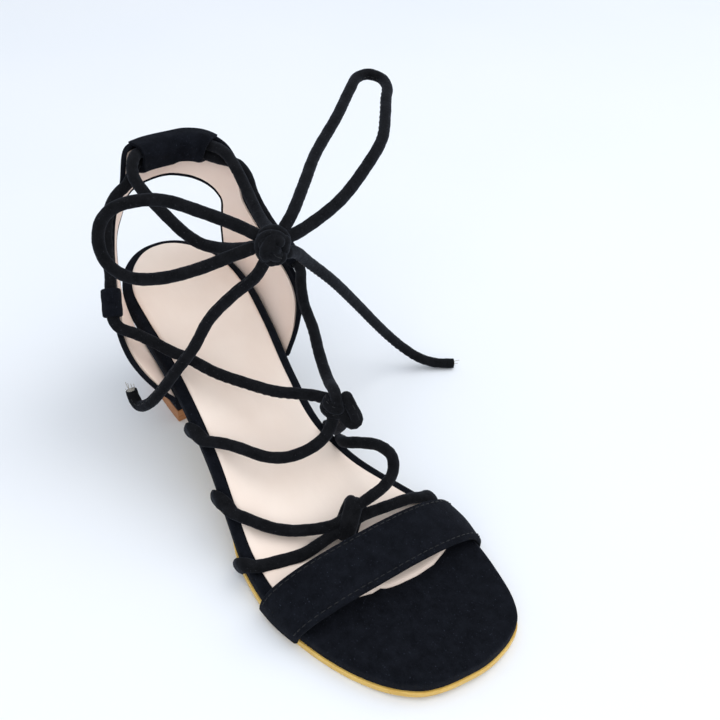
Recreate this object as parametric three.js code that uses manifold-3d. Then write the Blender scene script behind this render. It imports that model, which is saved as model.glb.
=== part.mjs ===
import * as THREE from 'three';
import { mergeVertices } from 'three/addons/utils/BufferGeometryUtils.js';
import Module from 'manifold-3d';

// A lace-up gladiator sandal for the right foot, standing empty on a flat floor.
// Millimetres. The origin is on the floor under the middle of the heel, +X runs to the toe,
// +Y to the medial (big toe) side and +Z up.

const wasm = await Module();
wasm.setup();

// Driving sizes of the last and the sole
const FOOT_LENGTH = 237;
const HEEL_BACK_X = -31;
const BALL_HALF_WIDTH = 46;
const HEEL_RISE = 60;
const BALL_RISE = 9.6;
const BOARD_THICKNESS = 6;
const SOCK_THICKNESS = 0.9;
const SOCK_INSET = 4.6;
const SOCK_FRONT_X = 157;
const OUTSOLE_THICKNESS = 3.3;
const OUTSOLE_WELT = 0.6;
const OUTSOLE_WAIST_INSET = 3;

// Heel
const HEEL_BREAST_TOP_X = 27;
const HEEL_BREAST_BOTTOM_X = 20;
const HEEL_BOTTOM_BACK_X = -24;
const HEEL_TOP_INSET = 1.6;
const HEEL_BOTTOM_HALF_WIDTH = 20.5;
const TOP_LIFT_HEIGHT = 7;

// Upper
const STRAP_WIDTH = 22;
const STRAP_THICKNESS = 2.2;
const STRAP_LATERAL_X = 134.5;
const STRAP_MEDIAL_X = 141.5;
const STRAP_REAR_HEIGHT = 17;
const STRAP_FRONT_HEIGHT = 12;
const STRAP_BOW = 4;
const COUNTER_WALL = 2;
const COUNTER_HEIGHT = 71;
const COUNTER_FRONT_X = 48;
const TUNNEL_HEIGHT = 13;
const TUNNEL_WALL = 1.4;
const KEEPER_LENGTH = 12;
const KEEPER_WALL = 1.6;

// Cord and fit
const CORD_DIAMETER = 5;
const KNOT_RADIUS = 8.7;
const LACE_KNOT_RADIUS = 8;
const GAP = 0.3;
const CORD_RADIUS = CORD_DIAMETER / 2;

const BLACK_SUEDE = new THREE.MeshStandardMaterial({ color: 0x17181c, roughness: 0.95, metalness: 0 });
const CORD_SUEDE = new THREE.MeshStandardMaterial({ color: 0x1b1c21, roughness: 0.92, metalness: 0 });
const NUDE_LINING = new THREE.MeshStandardMaterial({ color: 0xead9cd, roughness: 0.55, metalness: 0 });
const OCHRE_RUBBER = new THREE.MeshStandardMaterial({ color: 0xc39a3c, roughness: 0.6, metalness: 0 });
const TAN_LIFT = new THREE.MeshStandardMaterial({ color: 0xb98a5e, roughness: 0.6, metalness: 0 });

// A smooth line through rows of [at, value] that never overshoots between two rows
function smoothLine(rows) {
  const slopes = rows.slice(1).map(([at, value], i) => (value - rows[i][1]) / (at - rows[i][0]));
  const tangents = rows.map((row, i) => {
    if (i === 0) return slopes[0];
    if (i === rows.length - 1) return slopes[i - 1];
    const product = slopes[i - 1] * slopes[i];
    return product <= 0 ? 0 : (2 * product) / (slopes[i - 1] + slopes[i]);
  });
  return (at) => {
    let i = 0;
    while (i < rows.length - 2 && at > rows[i + 1][0]) i += 1;
    const span = rows[i + 1][0] - rows[i][0];
    const s = (at - rows[i][0]) / span;
    const h = s * s * (3 - 2 * s);
    return rows[i][1] * (1 - h) + rows[i + 1][1] * h
      + span * s * (1 - s) * ((1 - s) * tangents[i] - s * tangents[i + 1]);
  };
}

// Plan of the footbed: along is a share of the foot length from the heel's back,
// medial and lateral are shares of the half width at the ball.
const PLAN = [
  { along: 0.000, medial: 0.120, lateral: 0.120 },
  { along: 0.011, medial: 0.270, lateral: 0.270 },
  { along: 0.038, medial: 0.440, lateral: 0.440 },
  { along: 0.090, medial: 0.595, lateral: 0.590 },
  { along: 0.165, medial: 0.630, lateral: 0.645 },
  { along: 0.275, medial: 0.540, lateral: 0.680 },
  { along: 0.385, medial: 0.425, lateral: 0.740 },
  { along: 0.470, medial: 0.395, lateral: 0.800 },
  { along: 0.545, medial: 0.500, lateral: 0.885 },
  { along: 0.630, medial: 0.735, lateral: 0.975 },
  { along: 0.720, medial: 0.900, lateral: 1.000 },
  { along: 0.812, medial: 0.895, lateral: 0.925 },
  { along: 0.890, medial: 0.820, lateral: 0.775 },
  { along: 0.945, medial: 0.720, lateral: 0.580 },
  { along: 0.978, medial: 0.590, lateral: 0.400 },
  { along: 0.992, medial: 0.450, lateral: 0.250 },
  { along: 1.000, medial: 0.320, lateral: 0.080 },
];

const planX = (along) => HEEL_BACK_X + along * FOOT_LENGTH;
const planAlong = (x) => (x - HEEL_BACK_X) / FOOT_LENGTH;
const sideCurve = {
  medial: new THREE.CatmullRomCurve3(
    PLAN.map((row) => new THREE.Vector3(planX(row.along), row.medial * BALL_HALF_WIDTH, 0))),
  lateral: new THREE.CatmullRomCurve3(
    PLAN.map((row) => new THREE.Vector3(planX(row.along), -row.lateral * BALL_HALF_WIDTH, 0))),
};

// Side view of the footbed's top: lift is a share of the heel rise above the ball
const PROFILE = [
  { along: 0.000, lift: 1.150 },
  { along: 0.130, lift: 1.000 },
  { along: 0.257, lift: 0.855 },
  { along: 0.384, lift: 0.630 },
  { along: 0.510, lift: 0.312 },
  { along: 0.637, lift: 0.046 },
  { along: 0.715, lift: 0.000 },
  { along: 0.870, lift: 0.000 },
  { along: 1.000, lift: 0.040 },
];
const liftLine = smoothLine(PROFILE.map((row) => [row.along, row.lift]));
const footTop = (x) => BALL_RISE + (HEEL_RISE - BALL_RISE) * liftLine(planAlong(x));
const boardBottom = (x) => footTop(x) - BOARD_THICKNESS;
const seam = (x) => boardBottom(x) - GAP;

// The point of one side's edge at curve share t, moved inward by inset
function edgePoint(side, t, inset) {
  const curve = sideCurve[side];
  const point = curve.getPoint(t);
  const tangent = curve.getTangent(t);
  const turn = side === 'medial' ? 1 : -1;
  return new THREE.Vector3(point.x + turn * tangent.y * inset, point.y - turn * tangent.x * inset, 0);
}

// The curve share at which one side's edge reaches x
function shareAt(side, x) {
  let low = 0;
  let high = 1;
  for (let i = 0; i < 30; i += 1) {
    const middle = (low + high) / 2;
    if (sideCurve[side].getPoint(middle).x < x) low = middle;
    else high = middle;
  }
  return low;
}
const edgeAt = (side, x, inset = 0) => edgePoint(side, shareAt(side, x), inset);

// A closed mesh from corner positions and triangles
function closedGeometry(positions, triangles) {
  const geometry = new THREE.BufferGeometry();
  geometry.setAttribute('position', new THREE.Float32BufferAttribute(positions.flatMap((p) => [p.x, p.y, p.z]), 3));
  geometry.setIndex(triangles.flat());
  return geometry;
}

// Stacked layers of rows, each row a lateral and a medial point: floor, side walls and roof
function stack(layers) {
  const rowCount = layers[0].length;
  const ring = 2 * rowCount;
  const positions = layers.flatMap((rows) => [
    ...rows.map((row) => row.lateral),
    ...rows.map((row) => row.medial).reverse(),
  ]);
  const triangles = [];
  for (let i = 0; i < rowCount - 1; i += 1) {
    const [a, b, c, d] = [i, i + 1, ring - 2 - i, ring - 1 - i];
    triangles.push([a, c, b], [a, d, c]);
    const up = (layers.length - 1) * ring;
    triangles.push([up + a, up + b, up + c], [up + a, up + c, up + d]);
  }
  for (let k = 0; k < layers.length - 1; k += 1) {
    for (let i = 0; i < ring; i += 1) {
      const j = (i + 1) % ring;
      const low = k * ring;
      const high = low + ring;
      triangles.push([low + i, low + j, high + j], [low + i, high + j, high + i]);
    }
  }
  return closedGeometry(positions, triangles);
}

// Rings of equal point counts joined into a closed loft with flat ends
function loft(rings, cap) {
  const count = rings[0].length;
  const triangles = [];
  for (let k = 0; k < rings.length - 1; k += 1) {
    for (let i = 0; i < count; i += 1) {
      const j = (i + 1) % count;
      const [a, b, c, d] = [k * count + i, k * count + j, (k + 1) * count + j, (k + 1) * count + i];
      triangles.push([a, b, c], [a, c, d]);
    }
  }
  const last = (rings.length - 1) * count;
  for (const [a, b, c] of cap) triangles.push([a, c, b], [last + a, last + b, last + c]);
  return closedGeometry(rings.flat(), triangles);
}

// The triangles that close a section, turned the same way as its own points
function capOf(section) {
  const points = section.map(([x, y]) => new THREE.Vector2(x, y));
  const { area, triangulateShape } = THREE.ShapeUtils;
  return triangulateShape(points, []).map(([a, b, c]) => (
    area([points[a], points[b], points[c]]) * area(points) > 0 ? [a, b, c] : [a, c, b]));
}

// A sheet of points given a thickness along its normals
function shell(grid, thickness) {
  const rows = grid.length;
  const columns = grid[0].length;
  const at = (i, j) => grid[Math.min(Math.max(i, 0), rows - 1)][Math.min(Math.max(j, 0), columns - 1)];
  const faces = [-1, 1].map((side) => grid.map((row, i) => row.map((point, j) => {
    const along = at(i + 1, j).clone().sub(at(i - 1, j));
    const up = at(i, j + 1).clone().sub(at(i, j - 1));
    const normal = along.cross(up).normalize();
    return point.clone().addScaledVector(normal, (side * thickness) / 2);
  })));
  const index = (face, i, j) => face * rows * columns + i * columns + j;
  const triangles = [];
  const quad = (a, b, c, d) => triangles.push([a, b, c], [a, c, d]);
  for (let i = 0; i < rows - 1; i += 1) {
    for (let j = 0; j < columns - 1; j += 1) {
      quad(index(1, i, j), index(1, i + 1, j), index(1, i + 1, j + 1), index(1, i, j + 1));
      quad(index(0, i, j), index(0, i, j + 1), index(0, i + 1, j + 1), index(0, i + 1, j));
    }
    quad(index(0, i, 0), index(0, i + 1, 0), index(1, i + 1, 0), index(1, i, 0));
    quad(index(1, i, columns - 1), index(1, i + 1, columns - 1), index(0, i + 1, columns - 1), index(0, i, columns - 1));
  }
  for (let j = 0; j < columns - 1; j += 1) {
    quad(index(0, 0, j), index(1, 0, j), index(1, 0, j + 1), index(0, 0, j + 1));
    quad(index(1, rows - 1, j), index(0, rows - 1, j), index(0, rows - 1, j + 1), index(1, rows - 1, j + 1));
  }
  return closedGeometry(faces.flat(2), triangles);
}

// Solids for cutting and joining
function solid(geometry) {
  const bare = geometry.clone();
  bare.deleteAttribute('normal');
  bare.deleteAttribute('uv');
  const merged = mergeVertices(bare, 1e-4);
  const triVerts = new Uint32Array(merged.index.array);
  const vertProperties = new Float32Array(merged.attributes.position.array);
  return new wasm.Manifold(new wasm.Mesh({ numProp: 3, vertProperties, triVerts }));
}

function geometryOf(manifold) {
  const mesh = manifold.getMesh();
  const geometry = new THREE.BufferGeometry();
  geometry.setAttribute('position', new THREE.Float32BufferAttribute(mesh.vertProperties, 3));
  geometry.setIndex(new THREE.Uint32BufferAttribute(mesh.triVerts, 1));
  return geometry;
}

const vector = ([x, y, z]) => new THREE.Vector3(x, y, z);

// A round cord along chosen points, a tube of the given section and steps
function cordGeometry(points, steps, sides = 8, radius = CORD_RADIUS) {
  const section = new THREE.Shape();
  for (let i = 0; i < sides; i += 1) {
    const angle = (2 * Math.PI * i) / sides;
    const [x, y] = [radius * Math.cos(angle), radius * Math.sin(angle)];
    if (i === 0) section.moveTo(x, y);
    else section.lineTo(x, y);
  }
  section.closePath();
  const path = new THREE.CatmullRomCurve3(points.map(vector), false, 'centripetal');
  return new THREE.ExtrudeGeometry(section, { steps, bevelEnabled: false, extrudePath: path });
}

// A knot's lump: three turns of cord round a core, each turned another way
function knotSolid(center, radius, cord = CORD_RADIUS) {
  const turns = [[0.3, 0.2, 0], [1.45, 0.5, 0.3], [0.5, 1.35, 0.4]];
  let lump = solid(new THREE.SphereGeometry(radius - cord * 0.5, 10, 7));
  for (const [x, y, z] of turns) {
    const turn = new THREE.TorusGeometry(radius - cord, cord, 7, 12);
    turn.applyMatrix4(new THREE.Matrix4().makeRotationFromEuler(new THREE.Euler(x, y, z)));
    lump = lump.add(solid(turn));
  }
  return lump.translate(center);
}

const sandal = new THREE.Group();
sandal.name = 'gladiator_sandal';
function add(name, geometry, material) {
  const mesh = new THREE.Mesh(geometry, material);
  mesh.name = name;
  sandal.add(mesh);
}

// Footbed: a board wrapped in suede, with rounded edges
const EDGE_STEPS = 36;
const shares = Array.from({ length: EDGE_STEPS + 1 }, (_, i) => i / EDGE_STEPS);

function layer(stations, insetAt, heightAt) {
  return stations.map((t) => {
    const row = {};
    for (const side of ['lateral', 'medial']) {
      const x = sideCurve[side].getPoint(t).x;
      row[side] = edgePoint(side, t, insetAt(x));
      row[side].z = heightAt(row[side].x);
    }
    return row;
  });
}

const footbed = stack([
  layer(shares, () => 1.8, boardBottom),
  layer(shares, () => 0.3, (x) => boardBottom(x) + 1),
  layer(shares, () => 0, (x) => footTop(x) - 2.6),
  layer(shares, () => 0.4, (x) => footTop(x) - 0.8),
  layer(shares, () => 1.8, footTop),
]);
add('footbed', footbed, BLACK_SUEDE);

// Sock lining: it lies on the footbed, short of its edge, with a gently bowed front
const sockShare = shareAt('lateral', SOCK_FRONT_X);
const sockShares = shares.map((t) => t * sockShare);
function sockLayer(inset, rise) {
  const rows = layer(sockShares, () => inset, (x) => footTop(x) + rise);
  const { lateral, medial } = rows[rows.length - 1];
  for (const [ahead, keep] of [[2.6, 0.66], [4.4, 0.3], [4.8, 0.08]]) {
    const row = { lateral: lateral.clone().lerp(medial, (1 - keep) / 2), medial: medial.clone().lerp(lateral, (1 - keep) / 2) };
    for (const point of [row.lateral, row.medial]) {
      point.x += ahead;
      point.z = footTop(point.x) + rise;
    }
    rows.push(row);
  }
  return rows;
}
add('sock_lining', stack([
  sockLayer(SOCK_INSET, GAP),
  sockLayer(SOCK_INSET, GAP + 0.6 * SOCK_THICKNESS),
  sockLayer(SOCK_INSET + 0.6, GAP + SOCK_THICKNESS),
]), NUDE_LINING);

// Outsole: flat under the ball, up through the waist and on under the heel seat
const outsoleInset = smoothLine([
  [HEEL_BACK_X, OUTSOLE_WAIST_INSET], [planX(0.49), OUTSOLE_WAIST_INSET],
  [planX(0.61), -OUTSOLE_WELT], [planX(1), -OUTSOLE_WELT],
]);
const outsoleThickness = smoothLine([
  [HEEL_BACK_X, OUTSOLE_THICKNESS * 0.6], [planX(0.45), OUTSOLE_THICKNESS * 0.6],
  [planX(0.7), OUTSOLE_THICKNESS], [planX(1), OUTSOLE_THICKNESS],
]);
const outsoleBottom = (x) => Math.max(0, seam(x) - outsoleThickness(x));
add('outsole', stack([
  layer(shares, (x) => outsoleInset(x) + 0.7, outsoleBottom),
  layer(shares, outsoleInset, (x) => outsoleBottom(x) + 0.7),
  layer(shares, outsoleInset, seam),
]), OCHRE_RUBBER);

// Heel block, from the seat down to the top lift, with a round back and a straight breast
const HEEL_ROWS = 12;
function heelLayer(height) {
  const rows = [];
  for (let i = 0; i <= HEEL_ROWS; i += 1) {
    const s = i / HEEL_ROWS;
    const topX = THREE.MathUtils.lerp(HEEL_BACK_X + HEEL_TOP_INSET, HEEL_BREAST_TOP_X, s * s * (1.6 - 0.6 * s));
    const row = {};
    for (const side of ['lateral', 'medial']) {
      const top = edgeAt(side, topX, HEEL_TOP_INSET + OUTSOLE_WAIST_INSET * 0.3);
      top.z = outsoleBottom(top.x) - GAP;
      const turn = side === 'medial' ? 1 : -1;
      const bottomX = THREE.MathUtils.mapLinear(
        top.x, HEEL_BACK_X + HEEL_TOP_INSET, HEEL_BREAST_TOP_X, HEEL_BOTTOM_BACK_X, HEEL_BREAST_BOTTOM_X);
      const bottom = new THREE.Vector3(bottomX, turn * HEEL_BOTTOM_HALF_WIDTH * Math.abs(top.y) / 28, TOP_LIFT_HEIGHT + GAP);
      row[side] = bottom.lerp(top, height);
    }
    rows.push(row);
  }
  return rows;
}
add('heel_block', stack([0, 0.33, 0.66, 1].map(heelLayer)), BLACK_SUEDE);

const liftRows = heelLayer(0);
const liftLayer = (z) => liftRows.map((row) => ({
  lateral: new THREE.Vector3(row.lateral.x, row.lateral.y, z),
  medial: new THREE.Vector3(row.medial.x, row.medial.y, z),
}));
add('top_lift', stack([liftLayer(0), liftLayer(TOP_LIFT_HEIGHT)]), TAN_LIFT);

// Vamp strap: one low arch from seam to seam, narrower in front
const STRAP_STEPS = 22;
const ARCH_POWER = 2.5;
function strapRing(share) {
  const angle = Math.PI * share;
  const across = Math.sign(Math.cos(angle)) * Math.abs(Math.cos(angle)) ** (2 / ARCH_POWER);
  const up = Math.sin(angle) ** (2 / ARCH_POWER);
  const edge = (offset, height, grow) => {
    const x = THREE.MathUtils.lerp(STRAP_LATERAL_X, STRAP_MEDIAL_X, share) + offset;
    const lateral = -edgeAt('lateral', STRAP_LATERAL_X + offset).y;
    const medial = edgeAt('medial', STRAP_MEDIAL_X + offset).y;
    const reach = (lateral + medial) / 2 + 0.8 + STRAP_THICKNESS / 2 + grow;
    const rise = BOARD_THICKNESS + height + grow;
    const bow = STRAP_BOW * Math.sin(angle);
    return new THREE.Vector3(x + bow, (medial - lateral) / 2 - reach * across, seam(x) + 2 * GAP + rise * up);
  };
  const half = STRAP_THICKNESS / 2;
  const middle = STRAP_WIDTH / 2;
  const middleHeight = (STRAP_REAR_HEIGHT + STRAP_FRONT_HEIGHT) / 2 + 0.6;
  return [
    edge(0, STRAP_REAR_HEIGHT, -half), edge(middle, middleHeight, -half), edge(STRAP_WIDTH, STRAP_FRONT_HEIGHT, -half),
    edge(STRAP_WIDTH, STRAP_FRONT_HEIGHT, half), edge(middle, middleHeight, half), edge(0, STRAP_REAR_HEIGHT, half),
  ];
}
const strapRings = Array.from({ length: STRAP_STEPS + 1 }, (_, i) => strapRing(i / STRAP_STEPS).reverse());
const STRAP_CAP = [[0, 1, 5], [1, 4, 5], [1, 2, 4], [2, 3, 4]];
add('vamp_strap', loft(strapRings, STRAP_CAP), BLACK_SUEDE);

// Heel counter: rows round the heel from the lateral front to the medial front.
// at: place of its foot along the footbed edge, lean: forward lean of its top edge,
// out: how far the top edge stands outside the footbed edge, rise: its share of the height.
const COUNTER = [
  { side: 'lateral', at: 1.00, lean: 0, out: 1.5, rise: 0.03 },
  { side: 'lateral', at: 0.86, lean: 2, out: 7, rise: 0.07 },
  { side: 'lateral', at: 0.69, lean: 3.5, out: 11, rise: 0.1 },
  { side: 'lateral', at: 0.50, lean: 4, out: 13, rise: 0.13 },
  { side: 'lateral', at: 0.29, lean: 5, out: 12.8, rise: 0.2 },
  { side: 'lateral', at: 0.10, lean: 7, out: 10.4, rise: 0.30 },
  { side: 'lateral', at: -0.06, lean: 6, out: 6.6, rise: 0.40 },
  { side: 'lateral', at: -0.21, lean: 4, out: 3.4, rise: 0.48 },
  { side: 'lateral', at: -0.34, lean: 2, out: 0, rise: 0.59 },
  { side: 'lateral', at: -0.46, lean: 4, out: -3, rise: 0.715 },
  { side: 'lateral', at: -0.55, lean: 4.2, out: -4.2, rise: 0.895 },
  { side: 'lateral', at: -0.62, lean: 5.5, out: -4.5, rise: 0.892 },
  { side: 'medial', at: -0.646, lean: 6, out: 5, rise: 0.876 },
  { side: 'medial', at: -0.62, lean: 7.5, out: 8.5, rise: 0.888 },
  { side: 'medial', at: -0.55, lean: 9.5, out: 10, rise: 0.885 },
  { side: 'medial', at: -0.46, lean: 13, out: 10, rise: 0.85 },
  { side: 'medial', at: -0.34, lean: 13, out: 8.5, rise: 0.74 },
  { side: 'medial', at: -0.21, lean: 12, out: 6.6, rise: 0.60 },
  { side: 'medial', at: -0.06, lean: 14, out: 6.8, rise: 0.48 },
  { side: 'medial', at: 0.12, lean: 16, out: 8, rise: 0.37 },
  { side: 'medial', at: 0.35, lean: 16, out: 9, rise: 0.33 },
  { side: 'medial', at: 0.62, lean: 13, out: 9, rise: 0.28 },
  { side: 'medial', at: 0.86, lean: 6, out: 6, rise: 0.15 },
  { side: 'medial', at: 1.00, lean: 1, out: 1.5, rise: 0.03 },
];
const counterFoot = COUNTER.map(({ side, at }) => {
  const point = edgeAt(side, at * COUNTER_FRONT_X, -(GAP + 0.2 + COUNTER_WALL / 2));
  point.z = seam(point.x);
  return point;
});
const counterTop = COUNTER.map(({ side, at, lean, out, rise }) => {
  const turn = side === 'medial' ? 1 : -1;
  const point = edgeAt(side, at * COUNTER_FRONT_X);
  return new THREE.Vector3(point.x + lean, point.y + turn * out, seam(point.x) + rise * COUNTER_HEIGHT);
});
const footCurve = new THREE.CatmullRomCurve3(counterFoot);
const topCurve = new THREE.CatmullRomCurve3(counterTop);
const COUNTER_STEPS = 44;
const COUNTER_RISES = [0, 0.1, 0.22, 0.36, 0.52, 0.68, 0.84, 1];

// A point of the counter's middle surface: it rises straight off the seam and leans higher up
function counterPoint(t, v) {
  const foot = footCurve.getPoint(t);
  const top = topCurve.getPoint(t);
  const sway = v ** 1.5;
  return new THREE.Vector3(
    THREE.MathUtils.lerp(foot.x, top.x, sway), THREE.MathUtils.lerp(foot.y, top.y, sway),
    THREE.MathUtils.lerp(foot.z, top.z, v));
}
const counterGrid = Array.from({ length: COUNTER_STEPS + 1 }, (_, i) =>
  COUNTER_RISES.map((v) => counterPoint(i / COUNTER_STEPS, v)));

// The open window at the back, seen from behind as [y, z shares of half width and height]
const WINDOW = [
  [-0.62, 0.30], [-0.60, 0.385], [-0.54, 0.475], [-0.40, 0.545], [-0.16, 0.595], [0.10, 0.61],
  [0.36, 0.59], [0.58, 0.54], [0.66, 0.46], [0.65, 0.35], [0.62, 0.24],
];
const windowPoints = WINDOW.map(([y, z]) =>
  new THREE.Vector2(y * BALL_HALF_WIDTH, seam(HEEL_BACK_X) + z * COUNTER_HEIGHT - 1));
const windowShape = new THREE.Shape();
windowShape.moveTo(-0.62 * BALL_HALF_WIDTH, seam(HEEL_BACK_X) - 20);
windowShape.lineTo(windowPoints[0].x, windowPoints[0].y);
windowShape.splineThru(windowPoints.slice(1));
windowShape.lineTo(0.62 * BALL_HALF_WIDTH, seam(HEEL_BACK_X) - 20);
windowShape.closePath();
const windowCut = new THREE.ExtrudeGeometry(windowShape, { depth: 60, bevelEnabled: false, curveSegments: 3 });
windowCut.applyMatrix4(new THREE.Matrix4().makeBasis(
  new THREE.Vector3(0, 1, 0), new THREE.Vector3(0, 0, 1), new THREE.Vector3(1, 0, 0)));
windowCut.translate(-62, 0, 0);
const counter = solid(shell(counterGrid, COUNTER_WALL)).subtract(solid(windowCut));
add('heel_counter', geometryOf(counter), BLACK_SUEDE);

// Tunnel: a suede tab folded over the counter's top edge, with room for two cords side by side.
// Its section runs inward (n) and up (u) from the top edge of the counter's middle surface.
const TUNNEL_START = 0.455;
const TUNNEL_END = 0.628;
const TUNNEL_STEPS = 14;
const wallFace = COUNTER_WALL / 2;
const laneDepth = wallFace + CORD_DIAMETER + 5 * GAP;
const TUNNEL_SECTION = [
  [-wallFace, 2 * GAP], [-wallFace, 2 * GAP + TUNNEL_WALL], [laneDepth - 2, 1.2 + TUNNEL_WALL],
  [laneDepth + TUNNEL_WALL, -1.2], [laneDepth + TUNNEL_WALL, -TUNNEL_HEIGHT + 3.2],
  [wallFace + GAP + TUNNEL_WALL, -TUNNEL_HEIGHT], [wallFace + 1.5 * GAP, -TUNNEL_HEIGHT],
  [wallFace + 1.5 * GAP, -TUNNEL_HEIGHT + 1.4], [laneDepth, -TUNNEL_HEIGHT + 3.8], [laneDepth, -1.8],
  [laneDepth - 2.4, 1], [wallFace, 2 * GAP],
];
function tunnelPoint(t, n, u) {
  const top = counterPoint(t, 1);
  const along = counterPoint(t + 0.01, 1).sub(counterPoint(t - 0.01, 1));
  const up = top.clone().sub(counterPoint(t, 0.8));
  const inward = along.clone().cross(up).normalize();
  up.crossVectors(inward, along).normalize();
  const wall = counterPoint(t, 1 + Math.min(u, 0) / top.distanceTo(counterPoint(t, 0)));
  return wall.addScaledVector(inward, n).addScaledVector(up, Math.max(u, 0));
}
const tunnelRings = Array.from({ length: TUNNEL_STEPS + 1 }, (_, i) => {
  const t = THREE.MathUtils.lerp(TUNNEL_START, TUNNEL_END, i / TUNNEL_STEPS);
  return TUNNEL_SECTION.map(([n, u]) => tunnelPoint(t, n, u));
});
add('cord_tunnel', loft(tunnelRings, capOf(TUNNEL_SECTION)), BLACK_SUEDE);

// Lower keepers: short sleeves that sit on the counter's edges and turn the cord inward
const KEEPERS = [
  { name: 'keeper_lateral', center: [14.3, -42.4, 77.1], axis: [-0.61, 0.31, 0.73] },
  { name: 'keeper_medial', center: [29.1, 38.5, 80.4], axis: [0.92, 0.01, -0.4] },
];
const keeperBore = CORD_RADIUS + GAP;
for (const { name, center, axis } of KEEPERS) {
  const half = KEEPER_LENGTH / 2;
  const outer = keeperBore + KEEPER_WALL;
  const profile = [[keeperBore, -half], [outer, -half], [outer, half], [keeperBore, half], [keeperBore, -half]];
  const sleeve = new THREE.LatheGeometry(profile.map(([r, y]) => new THREE.Vector2(r, y)), 12);
  const turn = new THREE.Quaternion().setFromUnitVectors(new THREE.Vector3(0, 1, 0), vector(axis).normalize());
  sleeve.applyQuaternion(turn);
  sleeve.translate(...center);
  add(name, sleeve, CORD_SUEDE);
}

// Lacing: every cord comes up round the footbed's edge and runs to a knot, or in from a keeper
const FRONT_KNOT = [130, -2, 24];
const MIDDLE_KNOT = [105, 10, 60];
const FRONT_LACES = [
  { steps: 13, points: [[117.5, -48, 7.2], [118, -48.2, 11.5], [119.3, -46.6, 15.6], [122, -43, 16.5],
    [127, -36, 15.8], [130, -26, 17.5], [131, -16, 18.6], [131, -7, 20], [130.5, -2, 22.5]] },
  { steps: 14, points: [[94.5, -43.1, 17.6], [94.8, -43.2, 22], [97, -41.6, 26.3], [102, -38, 26.6],
    [110.5, -31, 21.8], [118, -22.5, 18], [125.5, -13.5, 18.5], [129.5, -6, 21.5]] },
  { steps: 13, points: [[134.5, 43.6, 4.8], [134.8, 43.8, 9.5], [135.3, 42.6, 15], [135.3, 38, 19],
    [131.5, 26, 19], [131, 14, 19.8], [130.5, 5, 22]] },
  { steps: 18, points: [[130, 1, 26], [129.5, 6.5, 28], [131.5, 14.5, 31.8], [129.8, 20.5, 34.6],
    [125, 23.8, 38], [116, 24, 37], [107.5, 20.5, 33.8], [99.5, 18.3, 29.2], [94.8, 20.8, 28],
    [92.6, 24, 24.8], [92, 24.4, 19.6]] },
];
const MIDDLE_LACES = [
  { steps: 20, points: [[66, -38, 32.8], [66.5, -38.2, 38], [69, -37.2, 42.6], [76, -33.8, 44.4],
    [84.4, -26.5, 42.2], [94.5, -19, 38.5], [100.5, -12.5, 37], [106, -6.5, 41], [109.5, -1, 47],
    [110, 4, 52.5], [107.5, 8, 57.5]] },
  { steps: 18, points: [[107, 11, 62], [111, 12, 63.5], [114, 13, 59], [111.5, 14, 51.5],
    [105, 14.2, 44.3], [98, 15.2, 36.5], [91, 17.6, 32], [87, 20.6, 30.2], [85.4, 22.6, 26.5],
    [85, 22.6, 22.4]] },
  { steps: 26, points: [[14.7, -42.6, 76.6], [16.4, -43.5, 74.6], [18.4, -44.5, 72.2], [21.6, -43.6, 69.2],
    [25, -38.8, 66.2], [29, -33, 61.8], [37, -28, 59], [43.5, -24, 58], [55.5, -18, 55.5],
    [66.5, -10, 53.5], [78.5, -3, 54], [88, 3, 56.5], [95, 7, 58.3], [103, 10, 60]] },
  { steps: 16, points: [[29.5, 38.5, 80.2], [32.5, 38.5, 78.9], [35.6, 38.6, 77.6], [39, 37.6, 75.9],
    [43, 34.8, 74.2], [53, 29.6, 70.2], [66.5, 25, 67], [77, 20.5, 63.5], [87, 16.5, 61.5],
    [96, 12.5, 60.5], [103, 10, 60]] },
];
function lacing(name, knot, laces) {
  let joined = knotSolid(knot, LACE_KNOT_RADIUS);
  for (const { points, steps } of laces) joined = joined.add(solid(cordGeometry(points, steps)));
  add(name, geometryOf(joined), CORD_SUEDE);
}
lacing('lacing_front', FRONT_KNOT, FRONT_LACES);
lacing('lacing_middle', MIDDLE_KNOT, MIDDLE_LACES);

// Edge cord: from the lateral keeper up the counter's edge, through the tunnel and down again
const EDGE_CORD = [
  [13.9, -42.2, 77.6], [11.9, -41.2, 80], [10.2, -40.3, 81.9], [8, -39, 83.6], [5, -37, 86.2],
  [0, -34.4, 89.9], [-4, -31.9, 93.2], [-8.5, -28.8, 97.3], [-12.3, -25.7, 102], [-14, -22.5, 106.4],
  [-14.4, -19.2, 109.6], [-15.2, -15.6, 111.8], [-17, -12.6, 113.8], [-19.2, -10.4, 115.6],
  [-20.5, -8.9, 116.3], [-21.2, -7.4, 116.4], [-21.7, -5.6, 116.3], [-22.1, -3.1, 116.2],
  [-22.6, 1.3, 115.9], [-22.8, 5.8, 115.6], [-22.6, 9.2, 115.5], [-21.7, 12.3, 115.9], [-19.9, 15.9, 116.2],
  [-17.4, 19.8, 115.9], [-14.6, 22.5, 115.1], [-12, 24, 114.7], [-8.3, 25.9, 114.7], [-4.1, 28.3, 114.7],
  [-0.8, 31.2, 113.6], [1.1, 33.7, 109.8], [2.6, 34.7, 105.8], [4.9, 35, 100.9], [8.7, 35.6, 96.2],
  [13.6, 36.6, 91.2], [18.5, 37.8, 86.8], [23.6, 38.5, 82.8], [28.7, 38.5, 80.6],
];
const EDGE_CORD_STEPS = 44;
add('edge_cord', cordGeometry(EDGE_CORD, EDGE_CORD_STEPS), CORD_SUEDE);

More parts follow.
